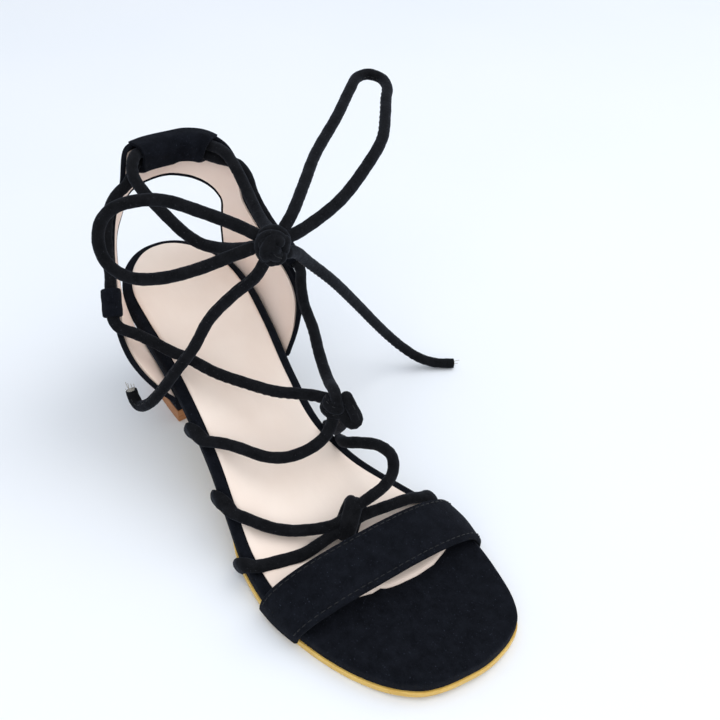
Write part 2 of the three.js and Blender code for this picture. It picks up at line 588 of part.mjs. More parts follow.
// Ankle cord, bow and tails: they meet at the bow's knot
const BOW_KNOT = [70, 3, 120];
const TIES = [
  { name: 'ankle_cord', steps: 42, points: [[64, 1.6, 117], [53, 0.2, 110], [39.5, -3, 104],
    [31, -7, 103], [23, -10, 105], [15.5, -12, 108], [5, -13.8, 111.6], [-3, -14.8, 114.4],
    [-9.8, -14.8, 117.2], [-14, -13.2, 119.6], [-16.9, -11, 121], [-18.5, -9.4, 121.6],
    [-19.5, -8.2, 121.7], [-20.1, -6.8, 121.7], [-20.6, -5, 121.6], [-21, -2.4, 121.5],
    [-21.5, 1.9, 121.2], [-21.7, 6.3, 120.9], [-21.5, 9.7, 120.8], [-20.4, 13.1, 121.2],
    [-18.5, 16.7, 121.5], [-16, 20.7, 121.2], [-13, 23.4, 120.3], [-10.7, 24.7, 120.1], [-7, 25.4, 120.5],
    [-1, 26, 120], [8, 25, 117.6], [22, 22.5, 112.2], [36, 18.6, 110], [49, 15, 111.5], [58, 11.8, 115],
    [63, 8, 117.2]] },
  { name: 'bow_loop_lateral', steps: 13, points: [[65, 0, 122.4], [58, -5, 125], [47, -14, 128.5],
    [35, -24, 131], [28, -33, 130], [24.5, -40, 127.5], [22.5, -44.5, 122.5], [22.5, -47, 115],
    [25.5, -47, 107.5], [30.5, -44.5, 103.3], [37, -40.5, 102.2], [46, -32.5, 104.5],
    [55.5, -21, 110], [62.5, -10.5, 115.8], [66, -4, 118.5]] },
  { name: 'bow_loop_medial', steps: 15, points: [[68, 8, 122], [64.5, 15.5, 126], [53, 29.5, 130],
    [40.5, 43.7, 133], [24.8, 66.5, 138], [12, 83, 141.4], [6, 91.5, 142.6], [5.8, 98, 142.6],
    [11.5, 101, 142], [19, 98.5, 141.2], [26.5, 92, 140.2], [35.6, 84.5, 138.5], [47.5, 73.5, 135],
    [56, 59, 130.5], [65, 38.5, 125], [69.5, 18, 121.5], [70, 10, 120.5]] },
  { name: 'bow_tail_lateral', steps: 9, points: [[69.4, 0.4, 114], [67.6, -3.4, 106.5], [61.8, -10.5, 97],
    [54.8, -18.5, 83.5], [53, -26, 70.5], [51, -34, 60.5], [48, -39.4, 51.2], [43, -44, 42],
    [36.5, -46, 37], [32.5, -46.2, 38.5], [31, -46.3, 42]] },
  { name: 'bow_tail_medial', steps: 12, points: [[72.5, 8, 116], [69, 14, 112], [61.8, 26, 98.3],
    [57, 42, 80], [51, 60, 57], [48.2, 76, 35.5], [48, 86, 22.5], [50, 94, 13], [55, 100.5, 7],
    [60, 108, 3.4], [65, 116, 2.6]] },
];
const knotHollow = solid(new THREE.SphereGeometry(KNOT_RADIUS + GAP, 16, 12)).translate(BOW_KNOT);
add('bow_knot', geometryOf(knotSolid(BOW_KNOT, KNOT_RADIUS)), CORD_SUEDE);
for (const { name, points, steps } of TIES) {
  add(name, geometryOf(solid(cordGeometry(points, steps)).subtract(knotHollow)), CORD_SUEDE);
}

export default sandal;
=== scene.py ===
import math
import random

import bpy
import numpy as np
from mathutils import Matrix, Vector


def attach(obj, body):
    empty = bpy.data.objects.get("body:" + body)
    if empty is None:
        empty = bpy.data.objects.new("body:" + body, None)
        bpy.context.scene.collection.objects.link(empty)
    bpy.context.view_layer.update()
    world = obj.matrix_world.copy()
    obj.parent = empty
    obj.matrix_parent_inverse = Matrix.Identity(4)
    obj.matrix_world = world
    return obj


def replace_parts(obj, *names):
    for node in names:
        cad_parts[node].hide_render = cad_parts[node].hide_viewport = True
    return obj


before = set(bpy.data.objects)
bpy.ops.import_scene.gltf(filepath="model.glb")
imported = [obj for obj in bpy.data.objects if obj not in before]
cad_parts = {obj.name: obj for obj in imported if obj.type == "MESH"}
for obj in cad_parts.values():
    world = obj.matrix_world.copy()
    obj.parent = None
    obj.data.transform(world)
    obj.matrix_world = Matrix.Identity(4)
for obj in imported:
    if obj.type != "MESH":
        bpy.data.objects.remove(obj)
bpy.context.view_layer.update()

# Tables are in millimetres, as in the CAD source; meshes are made in metres.
MM = 0.001
random.seed(7)

# Sizes that the looks share with the CAD source
FOOT_LENGTH = 237.0
HEEL_BACK_X = -31.0
BALL_HALF_WIDTH = 46.0
HEEL_RISE = 60.0
BALL_RISE = 9.6
BOARD_THICKNESS = 6.0
SOCK_THICKNESS = 0.9
SOCK_INSET = 4.6
SOCK_FRONT_X = 157.0
OUTSOLE_THICKNESS = 3.3
OUTSOLE_WELT = 0.6
OUTSOLE_WAIST_INSET = 3.0
HEEL_BREAST_TOP_X = 27.0
HEEL_BREAST_BOTTOM_X = 20.0
HEEL_BOTTOM_BACK_X = -24.0
HEEL_TOP_INSET = 1.6
HEEL_BOTTOM_HALF_WIDTH = 20.5
TOP_LIFT_HEIGHT = 7.0
STRAP_WIDTH = 22.0
STRAP_THICKNESS = 2.2
STRAP_LATERAL_X = 134.5
STRAP_MEDIAL_X = 141.5
STRAP_REAR_HEIGHT = 17.0
STRAP_FRONT_HEIGHT = 12.0
STRAP_BOW = 4.0
COUNTER_WALL = 2.0
COUNTER_HEIGHT = 71.0
COUNTER_FRONT_X = 48.0
TUNNEL_HEIGHT = 13.0
TUNNEL_WALL = 1.4
CORD_DIAMETER = 5.0
CORD_RADIUS = CORD_DIAMETER / 2
GAP = 0.3

# Camera of the photo: focal length in pixels of a 720 pixel frame, and angles in degrees
FRAME_PIXELS = 720
FOCAL_PIXELS = 955.96
CAMERA_PLACE = (330.8, -164.3, 322.1)
CAMERA_AZIMUTH = -39.29
CAMERA_ELEVATION = 39.91
CAMERA_ROLL = 2.89
SENSOR_WIDTH = 36.0


def camera_turn():
    """The camera's rotation from its azimuth, elevation and roll."""
    az, el, roll = (math.radians(a) for a in (CAMERA_AZIMUTH, CAMERA_ELEVATION, CAMERA_ROLL))
    back = Vector((math.cos(el) * math.cos(az), math.cos(el) * math.sin(az), math.sin(el)))
    right = Vector((-back.y, back.x, 0)).normalized()
    up = back.cross(right)
    rolled_right = right * math.cos(roll) + up * math.sin(roll)
    rolled_up = up * math.cos(roll) - right * math.sin(roll)
    return Matrix((rolled_right, rolled_up, back)).transposed()


def make_camera():
    data = bpy.data.cameras.new("camera")
    data.sensor_width = SENSOR_WIDTH
    data.lens = FOCAL_PIXELS / FRAME_PIXELS * SENSOR_WIDTH
    data.clip_start = 0.01
    camera = bpy.data.objects.new("camera", data)
    camera.matrix_world = Matrix.Translation(Vector(CAMERA_PLACE) * MM) @ camera_turn().to_4x4()
    bpy.context.scene.collection.objects.link(camera)
    bpy.context.scene.camera = camera


make_camera()


def unit(vectors):
    """The same directions, each of length 1."""
    vectors = np.asarray(vectors, float)
    return vectors / np.linalg.norm(vectors, axis=-1, keepdims=True)


# Curves and lines, made as in the CAD source
def catmull(points, shares):
    """Centripetal Catmull-Rom curve through points, at shares from 0 to 1."""
    points = np.asarray(points, float)
    shares = np.atleast_1d(np.asarray(shares, float))
    count = len(points)
    padded = np.vstack([2 * points[0] - points[1], points, 2 * points[-1] - points[-2]])
    place = np.clip(shares, 0, 1) * (count - 1)
    index = np.minimum(place.astype(int), count - 2)
    weight = (place - index)[:, None]
    p0, p1, p2, p3 = (padded[index + k] for k in range(4))
    d0, d1, d2 = (np.sum((b - a) ** 2, axis=1)[:, None] ** 0.25 for a, b in ((p0, p1), (p1, p2), (p2, p3)))
    t1 = ((p1 - p0) / d0 - (p2 - p0) / (d0 + d1) + (p2 - p1) / d1) * d1
    t2 = ((p2 - p1) / d1 - (p3 - p1) / (d1 + d2) + (p3 - p2) / d2) * d1
    c2 = -3 * p1 + 3 * p2 - 2 * t1 - t2
    c3 = 2 * p1 - 2 * p2 + t1 + t2
    return p1 + weight * (t1 + weight * (c2 + weight * c3))


def resample(points, step):
    """Points a step apart along a line of points."""
    points = np.asarray(points, float)
    lengths = np.concatenate([[0], np.cumsum(np.linalg.norm(np.diff(points, axis=0), axis=1))])
    count = max(2, int(round(lengths[-1] / step)) + 1)
    at = np.linspace(0, lengths[-1], count)
    return np.column_stack([np.interp(at, lengths, points[:, k]) for k in range(3)])


def route(points, step=1.2):
    """A smooth dense line through given points."""
    return resample(catmull(points, np.linspace(0, 1, 24 * len(points))), step)


def smooth_line(rows):
    """A smooth line through rows of [at, value] that never overshoots between two rows."""
    at, value = np.array(rows, float).T
    slopes = np.diff(value) / np.diff(at)
    tangents = [slopes[0]]
    for a, b in zip(slopes[:-1], slopes[1:]):
        tangents.append(0.0 if a * b <= 0 else 2 * a * b / (a + b))
    tangents = np.array(tangents + [slopes[-1]])

    def line(x):
        x = np.asarray(x, float)
        i = np.clip(np.searchsorted(at, x) - 1, 0, len(at) - 2)
        span = at[i + 1] - at[i]
        s = (x - at[i]) / span
        h = s * s * (3 - 2 * s)
        bend = span * s * (1 - s) * ((1 - s) * tangents[i] - s * tangents[i + 1])
        return value[i] * (1 - h) + value[i + 1] * h + bend
    return line


# The last's outline: share of the length, then shares of the half width, medial and lateral.
# Its lateral toe is a little fuller than the solid's.
PLAN = [
    (0.000, 0.120, 0.120), (0.011, 0.270, 0.270), (0.038, 0.440, 0.440), (0.090, 0.595, 0.590),
    (0.165, 0.630, 0.645), (0.275, 0.540, 0.680), (0.385, 0.425, 0.740), (0.470, 0.395, 0.800),
    (0.545, 0.500, 0.885), (0.630, 0.735, 0.975), (0.720, 0.900, 1.000), (0.812, 0.895, 0.925),
    (0.890, 0.820, 0.785), (0.945, 0.720, 0.622), (0.978, 0.600, 0.450), (0.992, 0.470, 0.290),
    (1.000, 0.330, 0.100),
]
# The footbed's height: share of the length, share of the rise from ball to heel
PROFILE = [
    (0.000, 1.150), (0.130, 1.000), (0.257, 0.855), (0.384, 0.630), (0.510, 0.312),
    (0.637, 0.046), (0.715, 0.000), (0.870, 0.000), (1.000, 0.040),
]


def plan_x(along):
    return HEEL_BACK_X + along * FOOT_LENGTH


SIDES = {
    "medial": [(plan_x(a), m * BALL_HALF_WIDTH, 0) for a, m, _ in PLAN],
    "lateral": [(plan_x(a), -l * BALL_HALF_WIDTH, 0) for a, _, l in PLAN],
}
TOE_BULGE = 1.1
HEEL_BULGE = 0.5
TOE_MIDDLE = (plan_x(1) + TOE_BULGE, 0.12 * BALL_HALF_WIDTH, 0)
HEEL_MIDDLE = (plan_x(0) - HEEL_BULGE, 0, 0)
OTHER_SIDE = {"medial": "lateral", "lateral": "medial"}
RIMS = {side: [SIDES[other][0], HEEL_MIDDLE] + SIDES[side] + [TOE_MIDDLE, SIDES[other][-1]]
        for side, other in OTHER_SIDE.items()}
PLAN_SPANS = len(PLAN) - 1
# How far the shares run past a side's ends, to the middle of the heel and of the toe
PAST_END = 0.9995 / PLAN_SPANS
TURN_CROWDING = 0.55
lift_line = smooth_line(PROFILE)


def rim(side, shares):
    """Points of a side's edge. Shares under 0 and over 1 round the heel and the toe."""
    place = 2 + PLAN_SPANS * np.atleast_1d(np.asarray(shares, float))
    return catmull(RIMS[side], place / (len(RIMS[side]) - 1))


def foot_top(x):
    along = (np.asarray(x, float) - HEEL_BACK_X) / FOOT_LENGTH
    return BALL_RISE + (HEEL_RISE - BALL_RISE) * lift_line(along)


def board_bottom(x):
    return foot_top(x) - BOARD_THICKNESS


def seam(x):
    return board_bottom(x) - GAP


def edge_points(side, shares, inset):
    """Points of one side's edge at curve shares, moved inward by inset."""
    shares = np.atleast_1d(np.asarray(shares, float))
    points = rim(side, shares)
    tangent = unit(rim(side, shares + 1e-4) - rim(side, shares - 1e-4))
    turn = 1 if side == "medial" else -1
    moved = points.copy()
    moved[:, 0] += turn * tangent[:, 1] * inset
    moved[:, 1] -= turn * tangent[:, 0] * inset
    return moved


def share_at(side, x):
    """The curve share at which one side's edge reaches x."""
    low, high = 0.0, 1.0
    for _ in range(30):
        middle = (low + high) / 2
        if rim(side, middle)[0, 0] < x:
            low = middle
        else:
            high = middle
    return low


def edge_at(side, x, inset=0.0):
    return edge_points(side, share_at(side, x), inset)[0]


# Materials
def srgb(red, green, blue):
    """Linear colour from an 8-bit screen colour."""
    def linear(c):
        c /= 255
        return c / 12.92 if c <= 0.04045 else ((c + 0.055) / 1.055) ** 2.4
    return (linear(red), linear(green), linear(blue), 1.0)


class Nodes:
    """Short helpers to build a material's node tree."""

    def __init__(self, name):
        self.material = bpy.data.materials.new(name)
        self.material.use_nodes = True
        self.tree = self.material.node_tree
        self.shader = self.tree.nodes["Principled BSDF"]
        self.coordinates = self.add("ShaderNodeTexCoord").outputs["Object"]

    def add(self, kind, **settings):
        node = self.tree.nodes.new(kind)
        for key, value in settings.items():
            setattr(node, key, value)
        return node

    def link(self, output, socket):
        self.tree.links.new(output, socket)

    def noise(self, scale, detail=3.0, roughness=0.6, stretch=None):
        node = self.add("ShaderNodeTexNoise")
        node.inputs["Scale"].default_value = scale
        node.inputs["Detail"].default_value = detail
        node.inputs["Roughness"].default_value = roughness
        source = self.coordinates
        if stretch:
            mapping = self.add("ShaderNodeMapping")
            mapping.inputs["Scale"].default_value = stretch
            self.link(source, mapping.inputs["Vector"])
            source = mapping.outputs["Vector"]
        self.link(source, node.inputs["Vector"])
        return node.outputs["Fac"]

    def ramp(self, value, stops):
        node = self.add("ShaderNodeValToRGB")
        elements = node.color_ramp.elements
        while len(elements) < len(stops):
            elements.new(0.5)
        for element, (place, colour) in zip(elements, stops):
            element.position = place
            element.color = colour
        self.link(value, node.inputs["Fac"])
        return node.outputs["Color"]

    def mix(self, factor, first, second):
        node = self.add("ShaderNodeMix", data_type="RGBA")
        self.link(factor, node.inputs["Factor"])
        self.link(first, node.inputs["A"])
        self.link(second, node.inputs["B"])
        return node.outputs["Result"]

    def bump(self, layers):
        """Bump from (height, distance in millimetres) layers, one on another."""
        previous = None
        for height, distance in layers:
            node = self.add("ShaderNodeBump")
            node.inputs["Strength"].default_value = 1.0
            node.inputs["Distance"].default_value = distance * MM
            self.link(height, node.inputs["Height"])
            if previous:
                self.link(previous, node.inputs["Normal"])
            previous = node.outputs["Normal"]
        self.link(previous, self.shader.inputs["Normal"])

    def colour(self, output):
        self.link(output, self.shader.inputs["Base Color"])

    def roughness(self, value, low, high):
        """Roughness from low to high over a texture's range."""
        spread = self.add("ShaderNodeMapRange")
        spread.inputs["To Min"].default_value = low
        spread.inputs["To Max"].default_value = high
        self.link(value, spread.inputs["Value"])
        self.link(spread.outputs["Result"], self.shader.inputs["Roughness"])

    def set(self, **values):
        for key, value in values.items():
            self.shader.inputs[key.replace("_", " ")].default_value = value


def suede(name, dark, light, sheen):
    """Napped suede: brushed patches, short fibres and a few pale specks."""
    nodes = Nodes(name)
    patches = nodes.ramp(nodes.noise(210, 6, 0.7), [(0.36, dark), (0.66, light)])
    fibre = nodes.noise(2600, 2, 0.7)
    speck = nodes.ramp(nodes.noise(1500, 1), [(0.70, (0, 0, 0, 1)), (0.78, (1, 1, 1, 1))])
    fibres = nodes.ramp(fibre, [(0.25, dark), (0.8, light)])
    half = nodes.add("ShaderNodeMix", data_type="RGBA")
    half.inputs["Factor"].default_value = 0.55
    nodes.link(patches, half.inputs["A"])
    nodes.link(fibres, half.inputs["B"])
    pale = nodes.add("ShaderNodeRGB")
    pale.outputs["Color"].default_value = tuple(3.2 * c for c in light[:3]) + (1,)
    nodes.colour(nodes.mix(speck, half.outputs["Result"], pale.outputs["Color"]))
    nodes.roughness(fibre, 0.82, 1.0)
    nodes.set(Sheen_Weight=sheen, Sheen_Roughness=0.45, Sheen_Tint=(0.62, 0.70, 0.9, 1),
              Specular_IOR_Level=0.05)
    nodes.bump([(nodes.noise(420, 4, 0.7), 0.35), (fibre, 0.12)])
    return nodes.material


def smooth_leather(name, base, shade, roughness=0.42):
    """Smooth lining leather: faint pores, soft creases and slight colour drift."""
    nodes = Nodes(name)
    drift = nodes.noise(28, 3, 0.5)
    nodes.colour(nodes.ramp(drift, [(0.3, shade), (0.7, base)]))
    pores = nodes.add("ShaderNodeTexVoronoi", feature="SMOOTH_F1")
    pores.inputs["Scale"].default_value = 1500
    nodes.link(nodes.coordinates, pores.inputs["Vector"])
    nodes.roughness(nodes.noise(160, 4), roughness - 0.06, roughness + 0.10)
    nodes.set(Specular_IOR_Level=0.4)
    creases = nodes.noise(70, 5, 0.55, stretch=(0.6, 1.8, 1))
    nodes.bump([(creases, 0.35), (pores.outputs["Distance"], 0.03)])
    return nodes.material


def sole_edge(name, base, shade, roughness):
    """Moulded sole: buffed edge with fine lines along it and scuffs."""
    nodes = Nodes(name)
    lines = nodes.noise(900, 2, 0.5, stretch=(0.06, 0.06, 1))
    mottle = nodes.noise(120, 4)
    blend = nodes.mix(mottle, nodes.ramp(lines, [(0.3, shade), (0.65, base)]),
                      nodes.ramp(mottle, [(0.35, shade), (0.6, base)]))
    nodes.colour(blend)
    nodes.set(Roughness=roughness, Specular_IOR_Level=0.35)
    nodes.bump([(lines, 0.06), (nodes.noise(1400, 2), 0.04)])
    return nodes.material


def thread(name, colour):
    nodes = Nodes(name)
    twist = nodes.add("ShaderNodeTexWave", wave_type="BANDS")
    twist.inputs["Scale"].default_value = 900
    nodes.link(nodes.coordinates, twist.inputs["Vector"])
    dim = tuple(0.5 * c for c in colour[:3]) + (1,)
    nodes.colour(nodes.ramp(twist.outputs["Fac"], [(0.2, dim), (0.8, colour)]))
    nodes.set(Roughness=0.6, Sheen_Weight=0.08, Specular_IOR_Level=0.15)
    nodes.bump([(twist.outputs["Fac"], 0.05)])
    return nodes.material


BLACK_SUEDE = suede("black_suede", (0.0012, 0.0016, 0.0028, 1), (0.0092, 0.0108, 0.0160, 1), 0.035)
CORD_SUEDE = suede("cord_suede", (0.0010, 0.0012, 0.0016, 1), (0.0110, 0.0115, 0.0138, 1), 0.08)
NUDE_LINING = smooth_leather("nude_lining", srgb(244, 229, 218), srgb(236, 217, 204))
# The counter's lining leather, its colours raised near white as painted light that makes up for the shade
# inside the counter
COUNTER_LINING_PAINTED_LIGHT = smooth_leather("counter_lining", srgb(255, 238, 227), srgb(249, 224, 209), 0.5)
OCHRE_SOLE = sole_edge("ochre_sole", srgb(228, 192, 106), srgb(206, 163, 76), 0.5)
TAN_LIFT = sole_edge("tan_lift", srgb(178, 124, 82), srgb(132, 86, 54), 0.55)
BLACK_THREAD = thread("black_thread", (0.014, 0.0155, 0.019, 1))
CORE_THREAD = thread("core_thread", srgb(188, 184, 176))


# Mesh helpers
def finish_mesh(obj, angle=38):
    """Smooth shading with sharp edges, and the ride on the root body."""
    mesh = obj.data
    mesh.polygons.foreach_set("use_smooth", [True] * len(mesh.polygons))
    mesh.set_sharp_from_angle(angle=math.radians(angle))
    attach(obj, "root")
    return obj


def make_piece(name, points, faces, material, angle=38):
    """A piece from points in millimetres."""
    mesh = bpy.data.meshes.new(name)
    mesh.from_pydata((np.asarray(points, float) * MM).tolist(), [], faces)
    mesh.materials.append(material)
    mesh.validate()
    obj = bpy.data.objects.new(name, mesh)
    bpy.context.scene.collection.objects.link(obj)
    return finish_mesh(obj, angle)


def loft_faces(rings, count, first=0, capped=True):
    """Quads between rings of count points each, with end caps."""
    faces = []
    for k in range(rings - 1):
        low = first + k * count
        for i in range(count):
            j = (i + 1) % count
            faces.append((low + i, low + j, low + count + j, low + count + i))
    if capped:
        last = first + (rings - 1) * count
        faces.append(tuple(first + i for i in reversed(range(count))))
        faces.append(tuple(last + i for i in range(count)))
    return faces


def circle(middle, first, second, radius, count):
    """Points of a ring round a middle, in the plane of two directions."""
    angles = [2 * math.pi * k / count for k in range(count)]
    return [middle + radius * (math.cos(a) * first + math.sin(a) * second) for a in angles]


def loft(name, rings, material, angle=38):
    """A closed piece through rings of points, with end caps."""
    rings = np.asarray(rings, float)
    faces = loft_faces(*rings.shape[:2])
    return make_piece(name, rings.reshape(-1, 3), faces, material, angle)


def slab(name, shares, layers, columns, material, crown=None):
    """A foot-shaped slab: layers of (inset, height) from the floor up, its roof split in columns."""
    walls = []
    for inset, height in layers:
        row = {}
        for side in ("lateral", "medial"):
            points = edge_points(side, shares, 0)
            insets = inset(points[:, 0])
            points = np.vstack([edge_points(side, t, i) for t, i in zip(shares, insets)])
            points[:, 2] = height(points[:, 0])
            row[side] = points
        walls.append(row)

    def across(row, height, backwards):
        rows = []
        for c in range(1, columns):
            s = c / columns
            points = row["lateral"] * (1 - s) + row["medial"] * s
            points[:, 2] = height(points[:, 0])
            if crown is not None and not backwards:
                points[:, 2] += crown(points[:, 0], points[:, 1], s)
            rows.append(points)
        return rows[::-1] if backwards else rows

    strips = [row["lateral"] for row in walls]
    strips += across(walls[-1], layers[-1][1], False)
    strips += [row["medial"] for row in reversed(walls)]
    strips += across(walls[0], layers[0][1], True)
    return loft(name, np.stack(strips, axis=1), material)


def two_sheets(name, first, second, material, angle=38):
    """A closed piece between two grids of points that face each other."""
    rows, columns = first.shape[:2]
    half = rows * columns
    faces = []
    for i in range(rows - 1):
        for j in range(columns - 1):
            a, b = i * columns + j, (i + 1) * columns + j
            faces.append((a, b, b + 1, a + 1))
            faces.append((half + a + 1, half + b + 1, half + b, half + a))
    border = list(range(columns)) + [i * columns + columns - 1 for i in range(1, rows)]
    border += [(rows - 1) * columns + j for j in range(columns - 2, -1, -1)]
    border += [i * columns for i in range(rows - 2, 0, -1)]
    for a, b in zip(border, border[1:] + border[:1]):
        faces.append((a, b, half + b, half + a))
    points = np.vstack([first.reshape(-1, 3), second.reshape(-1, 3)])
    return make_piece(name, points, faces, material, angle)


def constant(value):
    return lambda x: np.full_like(np.asarray(x, float), value)


def foot_shares(count, last=1 + PAST_END):
    """Shares from the heel's middle that lie closer together at the tight turns."""
    s = np.linspace(0, 1, count)
    crowded = s - TURN_CROWDING * np.sin(2 * math.pi * s) / (2 * math.pi)
    return (last + PAST_END) * crowded - PAST_END


def frames_along(points, start):
    """Tangents, normals and sides carried along a line without twist."""
    tangents = unit(np.gradient(points, axis=0))
    normal = np.asarray(start, float)
    normals = []
    for tangent in tangents:
        normal = unit(normal - tangent * np.dot(normal, tangent))
        normals.append(normal)
    normals = np.array(normals)
    return tangents, normals, np.cross(tangents, normals)


def capsule_chain(path, outward, pitch, length, radius):
    """Points and faces of short stitches along a line, each bowed out of the surface."""
    points, faces = [], []
    sides = 6
    total = len(path)
    step = np.linalg.norm(path[1] - path[0])
    stride = max(1, int(round(pitch / step)))
    reach = max(1, int(round(length / step)))
    for start in range(stride, total - reach - 1, stride):
        a, b = path[start], path[start + reach]
        up = outward[start + reach // 2]
        across = unit(np.cross(b - a, up))
        first = len(points)
        for share, girth in ((0.0, 0.35), (0.2, 0.9), (0.5, 1.0), (0.8, 0.9), (1.0, 0.35)):
            middle = a + (b - a) * share + up * radius * (0.5 * math.sin(math.pi * share) - 0.25)
            points += circle(middle, across, up, radius * girth, sides)
        faces += loft_faces(5, sides, first)
    return points, faces


def stitches(name, lines, material, pitch, length, radius):
    """One piece of stitches along lines of (path, outward directions)."""
    points, faces = [], []
    for path, outward in lines:
        more_points, more_faces = capsule_chain(path, outward, pitch, length, radius)
        faces += [tuple(i + len(points) for i in face) for face in more_faces]
        points += more_points
    return make_piece(name, points, faces, material, 60)


def sewn_line(path, raised):
    """An even line along a path for stitches, with its directions out towards raised."""
    outward = unit(raised - path)
    even = resample(path, 0.3)
    return even, outward[np.linspace(0, len(outward) - 1, len(even)).astype(int)]


# Cords: round suede tubes sewn along one side
CORD_SIDES = 20
SEAM_ANGLE = math.radians(62)
# Radius of the footbed's rolled edge
ROUND = 2.1


def cord_section(angle):
    """Radius of the sewn tube: a low lip at the seam, with a crease beside it."""
    turn = (angle - SEAM_ANGLE + math.pi) % (2 * math.pi) - math.pi
    lip = 0.075 * math.exp(-(turn / 0.20) ** 2)
    crease = -0.07 * math.exp(-((turn - 0.42) / 0.16) ** 2)
    return 1 + lip + crease + 0.02 * math.cos(2 * (angle - 0.6))


RIM_TABLE = {side: rim(side, np.linspace(0, 1, 600)) for side in SIDES}
# A cord lies flat up to the first gap from the footbed and is round from the second on
PRESS_REACH = (1.6, 5.0)
PRESS_THIN = 0.40
PRESS_WIDE = 0.30


def pressed(path):
    """A cord's line drawn on to the footbed where it lies on it, with the directions out of
    the footbed and how flat the cord lies, from 0 to 1."""
    low, high = (np.interp(path[:, 0], RIM_TABLE[side][:, 0], RIM_TABLE[side][:, 1])
                 for side in ("lateral", "medial"))
    core = path.copy()
    core[:, 1] = np.clip(path[:, 1], low + ROUND, high - ROUND)
    core[:, 2] = np.clip(path[:, 2], board_bottom(path[:, 0]), foot_top(path[:, 0]) - ROUND)
    out = path - core
    far = np.linalg.norm(out, axis=1)
    sideways = np.column_stack([0 * far, np.sign(path[:, 1]), 0 * far])
    out = np.where((far > 0.05)[:, None], out / np.maximum(far, 0.05)[:, None], sideways)
    gap = far - ROUND - CORD_RADIUS
    flat = np.clip((PRESS_REACH[1] - gap) / (PRESS_REACH[1] - PRESS_REACH[0]), 0, 1)
    flat = flat * flat * (3 - 2 * flat)
    flat = np.convolve(np.pad(flat, 3, mode="edge"), np.ones(7) / 7, mode="valid")
    seated = ROUND + CORD_RADIUS * (1 - PRESS_THIN) + 0.1
    reach = np.where(far < 0.05, 0, far + (seated - far) * flat)
    reach = np.where(far < seated - 2, far, reach)
    return core + out * reach[:, None], out, flat


def squeezed(offset, tangent, out, flat):
    """An offset from a cord's middle, with the cord pressed flat against the footbed."""
    away = out - tangent * np.dot(out, tangent)
    away /= max(np.linalg.norm(away), 1e-6)
    along = np.cross(tangent, away)
    thin = away * np.dot(offset, away) * PRESS_THIN * flat
    wide = along * np.dot(offset, along) * PRESS_WIDE * flat
    return offset - thin + wide


def cord_tube(path, start, blunt, press):
    """Points and faces of a sewn tube along a path, its ends rounded unless blunt."""
    tangents, normals, sides = frames_along(path, start)
    angles = [2 * math.pi * k / CORD_SIDES for k in range(CORD_SIDES)]
    shape = [cord_section(a) for a in angles]
    rings = []
    count = len(path)
    phase = random.uniform(0, 6)
    for i, centre in enumerate(path):
        ripple = 1 + 0.018 * math.sin(0.9 * i + phase) + 0.014 * math.sin(2.3 * i + 2 * phase)
        ring = [CORD_RADIUS * ripple * r * (math.cos(a) * normals[i] + math.sin(a) * sides[i])
                for a, r in zip(angles, shape)]
        if press:
            ring = [squeezed(offset, tangents[i], press[0][i], press[1][i]) for offset in ring]
        rings.append([centre + offset for offset in ring])
    for end, flat in ((0, blunt[0]), (-1, blunt[1])):
        if flat:
            continue
        direction = -tangents[0] if end == 0 else tangents[-1]
        extra = []
        for reach, girth in ((0.45, 0.86), (0.8, 0.55), (0.95, 0.2)):
            base = np.array(rings[end])
            middle = path[end]
            extra.append([middle + direction * CORD_RADIUS * reach + (p - middle) * girth for p in base])
        rings = extra[::-1] + rings if end == 0 else rings + extra
    points = [p for ring in rings for p in ring]
    return points, loft_faces(len(rings), CORD_SIDES)


def seam_line(path, start, angle, press):
    """The line on a cord's skin at an angle round it, with its outward directions."""
    tangents, normals, sides = frames_along(path, start)
    outward = math.cos(angle) * normals + math.sin(angle) * sides
    offsets = outward * CORD_RADIUS * cord_section(angle) * 0.98
    if press:
        offsets = np.array([squeezed(*row) for row in zip(offsets, tangents, press[0], press[1])])
    return path + offsets, outward


def cord_piece(name, paths, on_foot=False):
    """One piece of several tubes, and a piece of the stitches along their seams.
    paths holds (path, start direction, blunt ends)."""
    points, faces, lines = [], [], []
    for path, start, blunt in paths:
        press = None
        if on_foot:
            path, *press = pressed(path)
        more_points, more_faces = cord_tube(path, start, blunt, press)
        faces += [tuple(i + len(points) for i in face) for face in more_faces]
        points += more_points
        lines.append(seam_line(path, start, SEAM_ANGLE + 0.62, press))
    piece = make_piece(name, points, faces, CORD_SUEDE, 75)
    sewn = stitches(name + "_stitches", lines, BLACK_THREAD, 3.4, 2.2, 0.2)
    return piece, sewn


def coil(centre, axis, across, radius, turns, advance, phase=0.0, squash=1.0):
    """Points of a coil of cord round an axis, as a knot's wraps are."""
    axis = unit(axis)
    across = unit(across - axis * np.dot(across, axis))
    other = np.cross(axis, across)
    points = []
    count = max(8, int(16 * turns))
    for i in range(count + 1):
        share = i / count
        angle = phase + 2 * math.pi * turns * share
        points.append(np.asarray(centre, float) + axis * advance * (share - 0.5)
                      + radius * (math.cos(angle) * across + squash * math.sin(angle) * other))
    return points


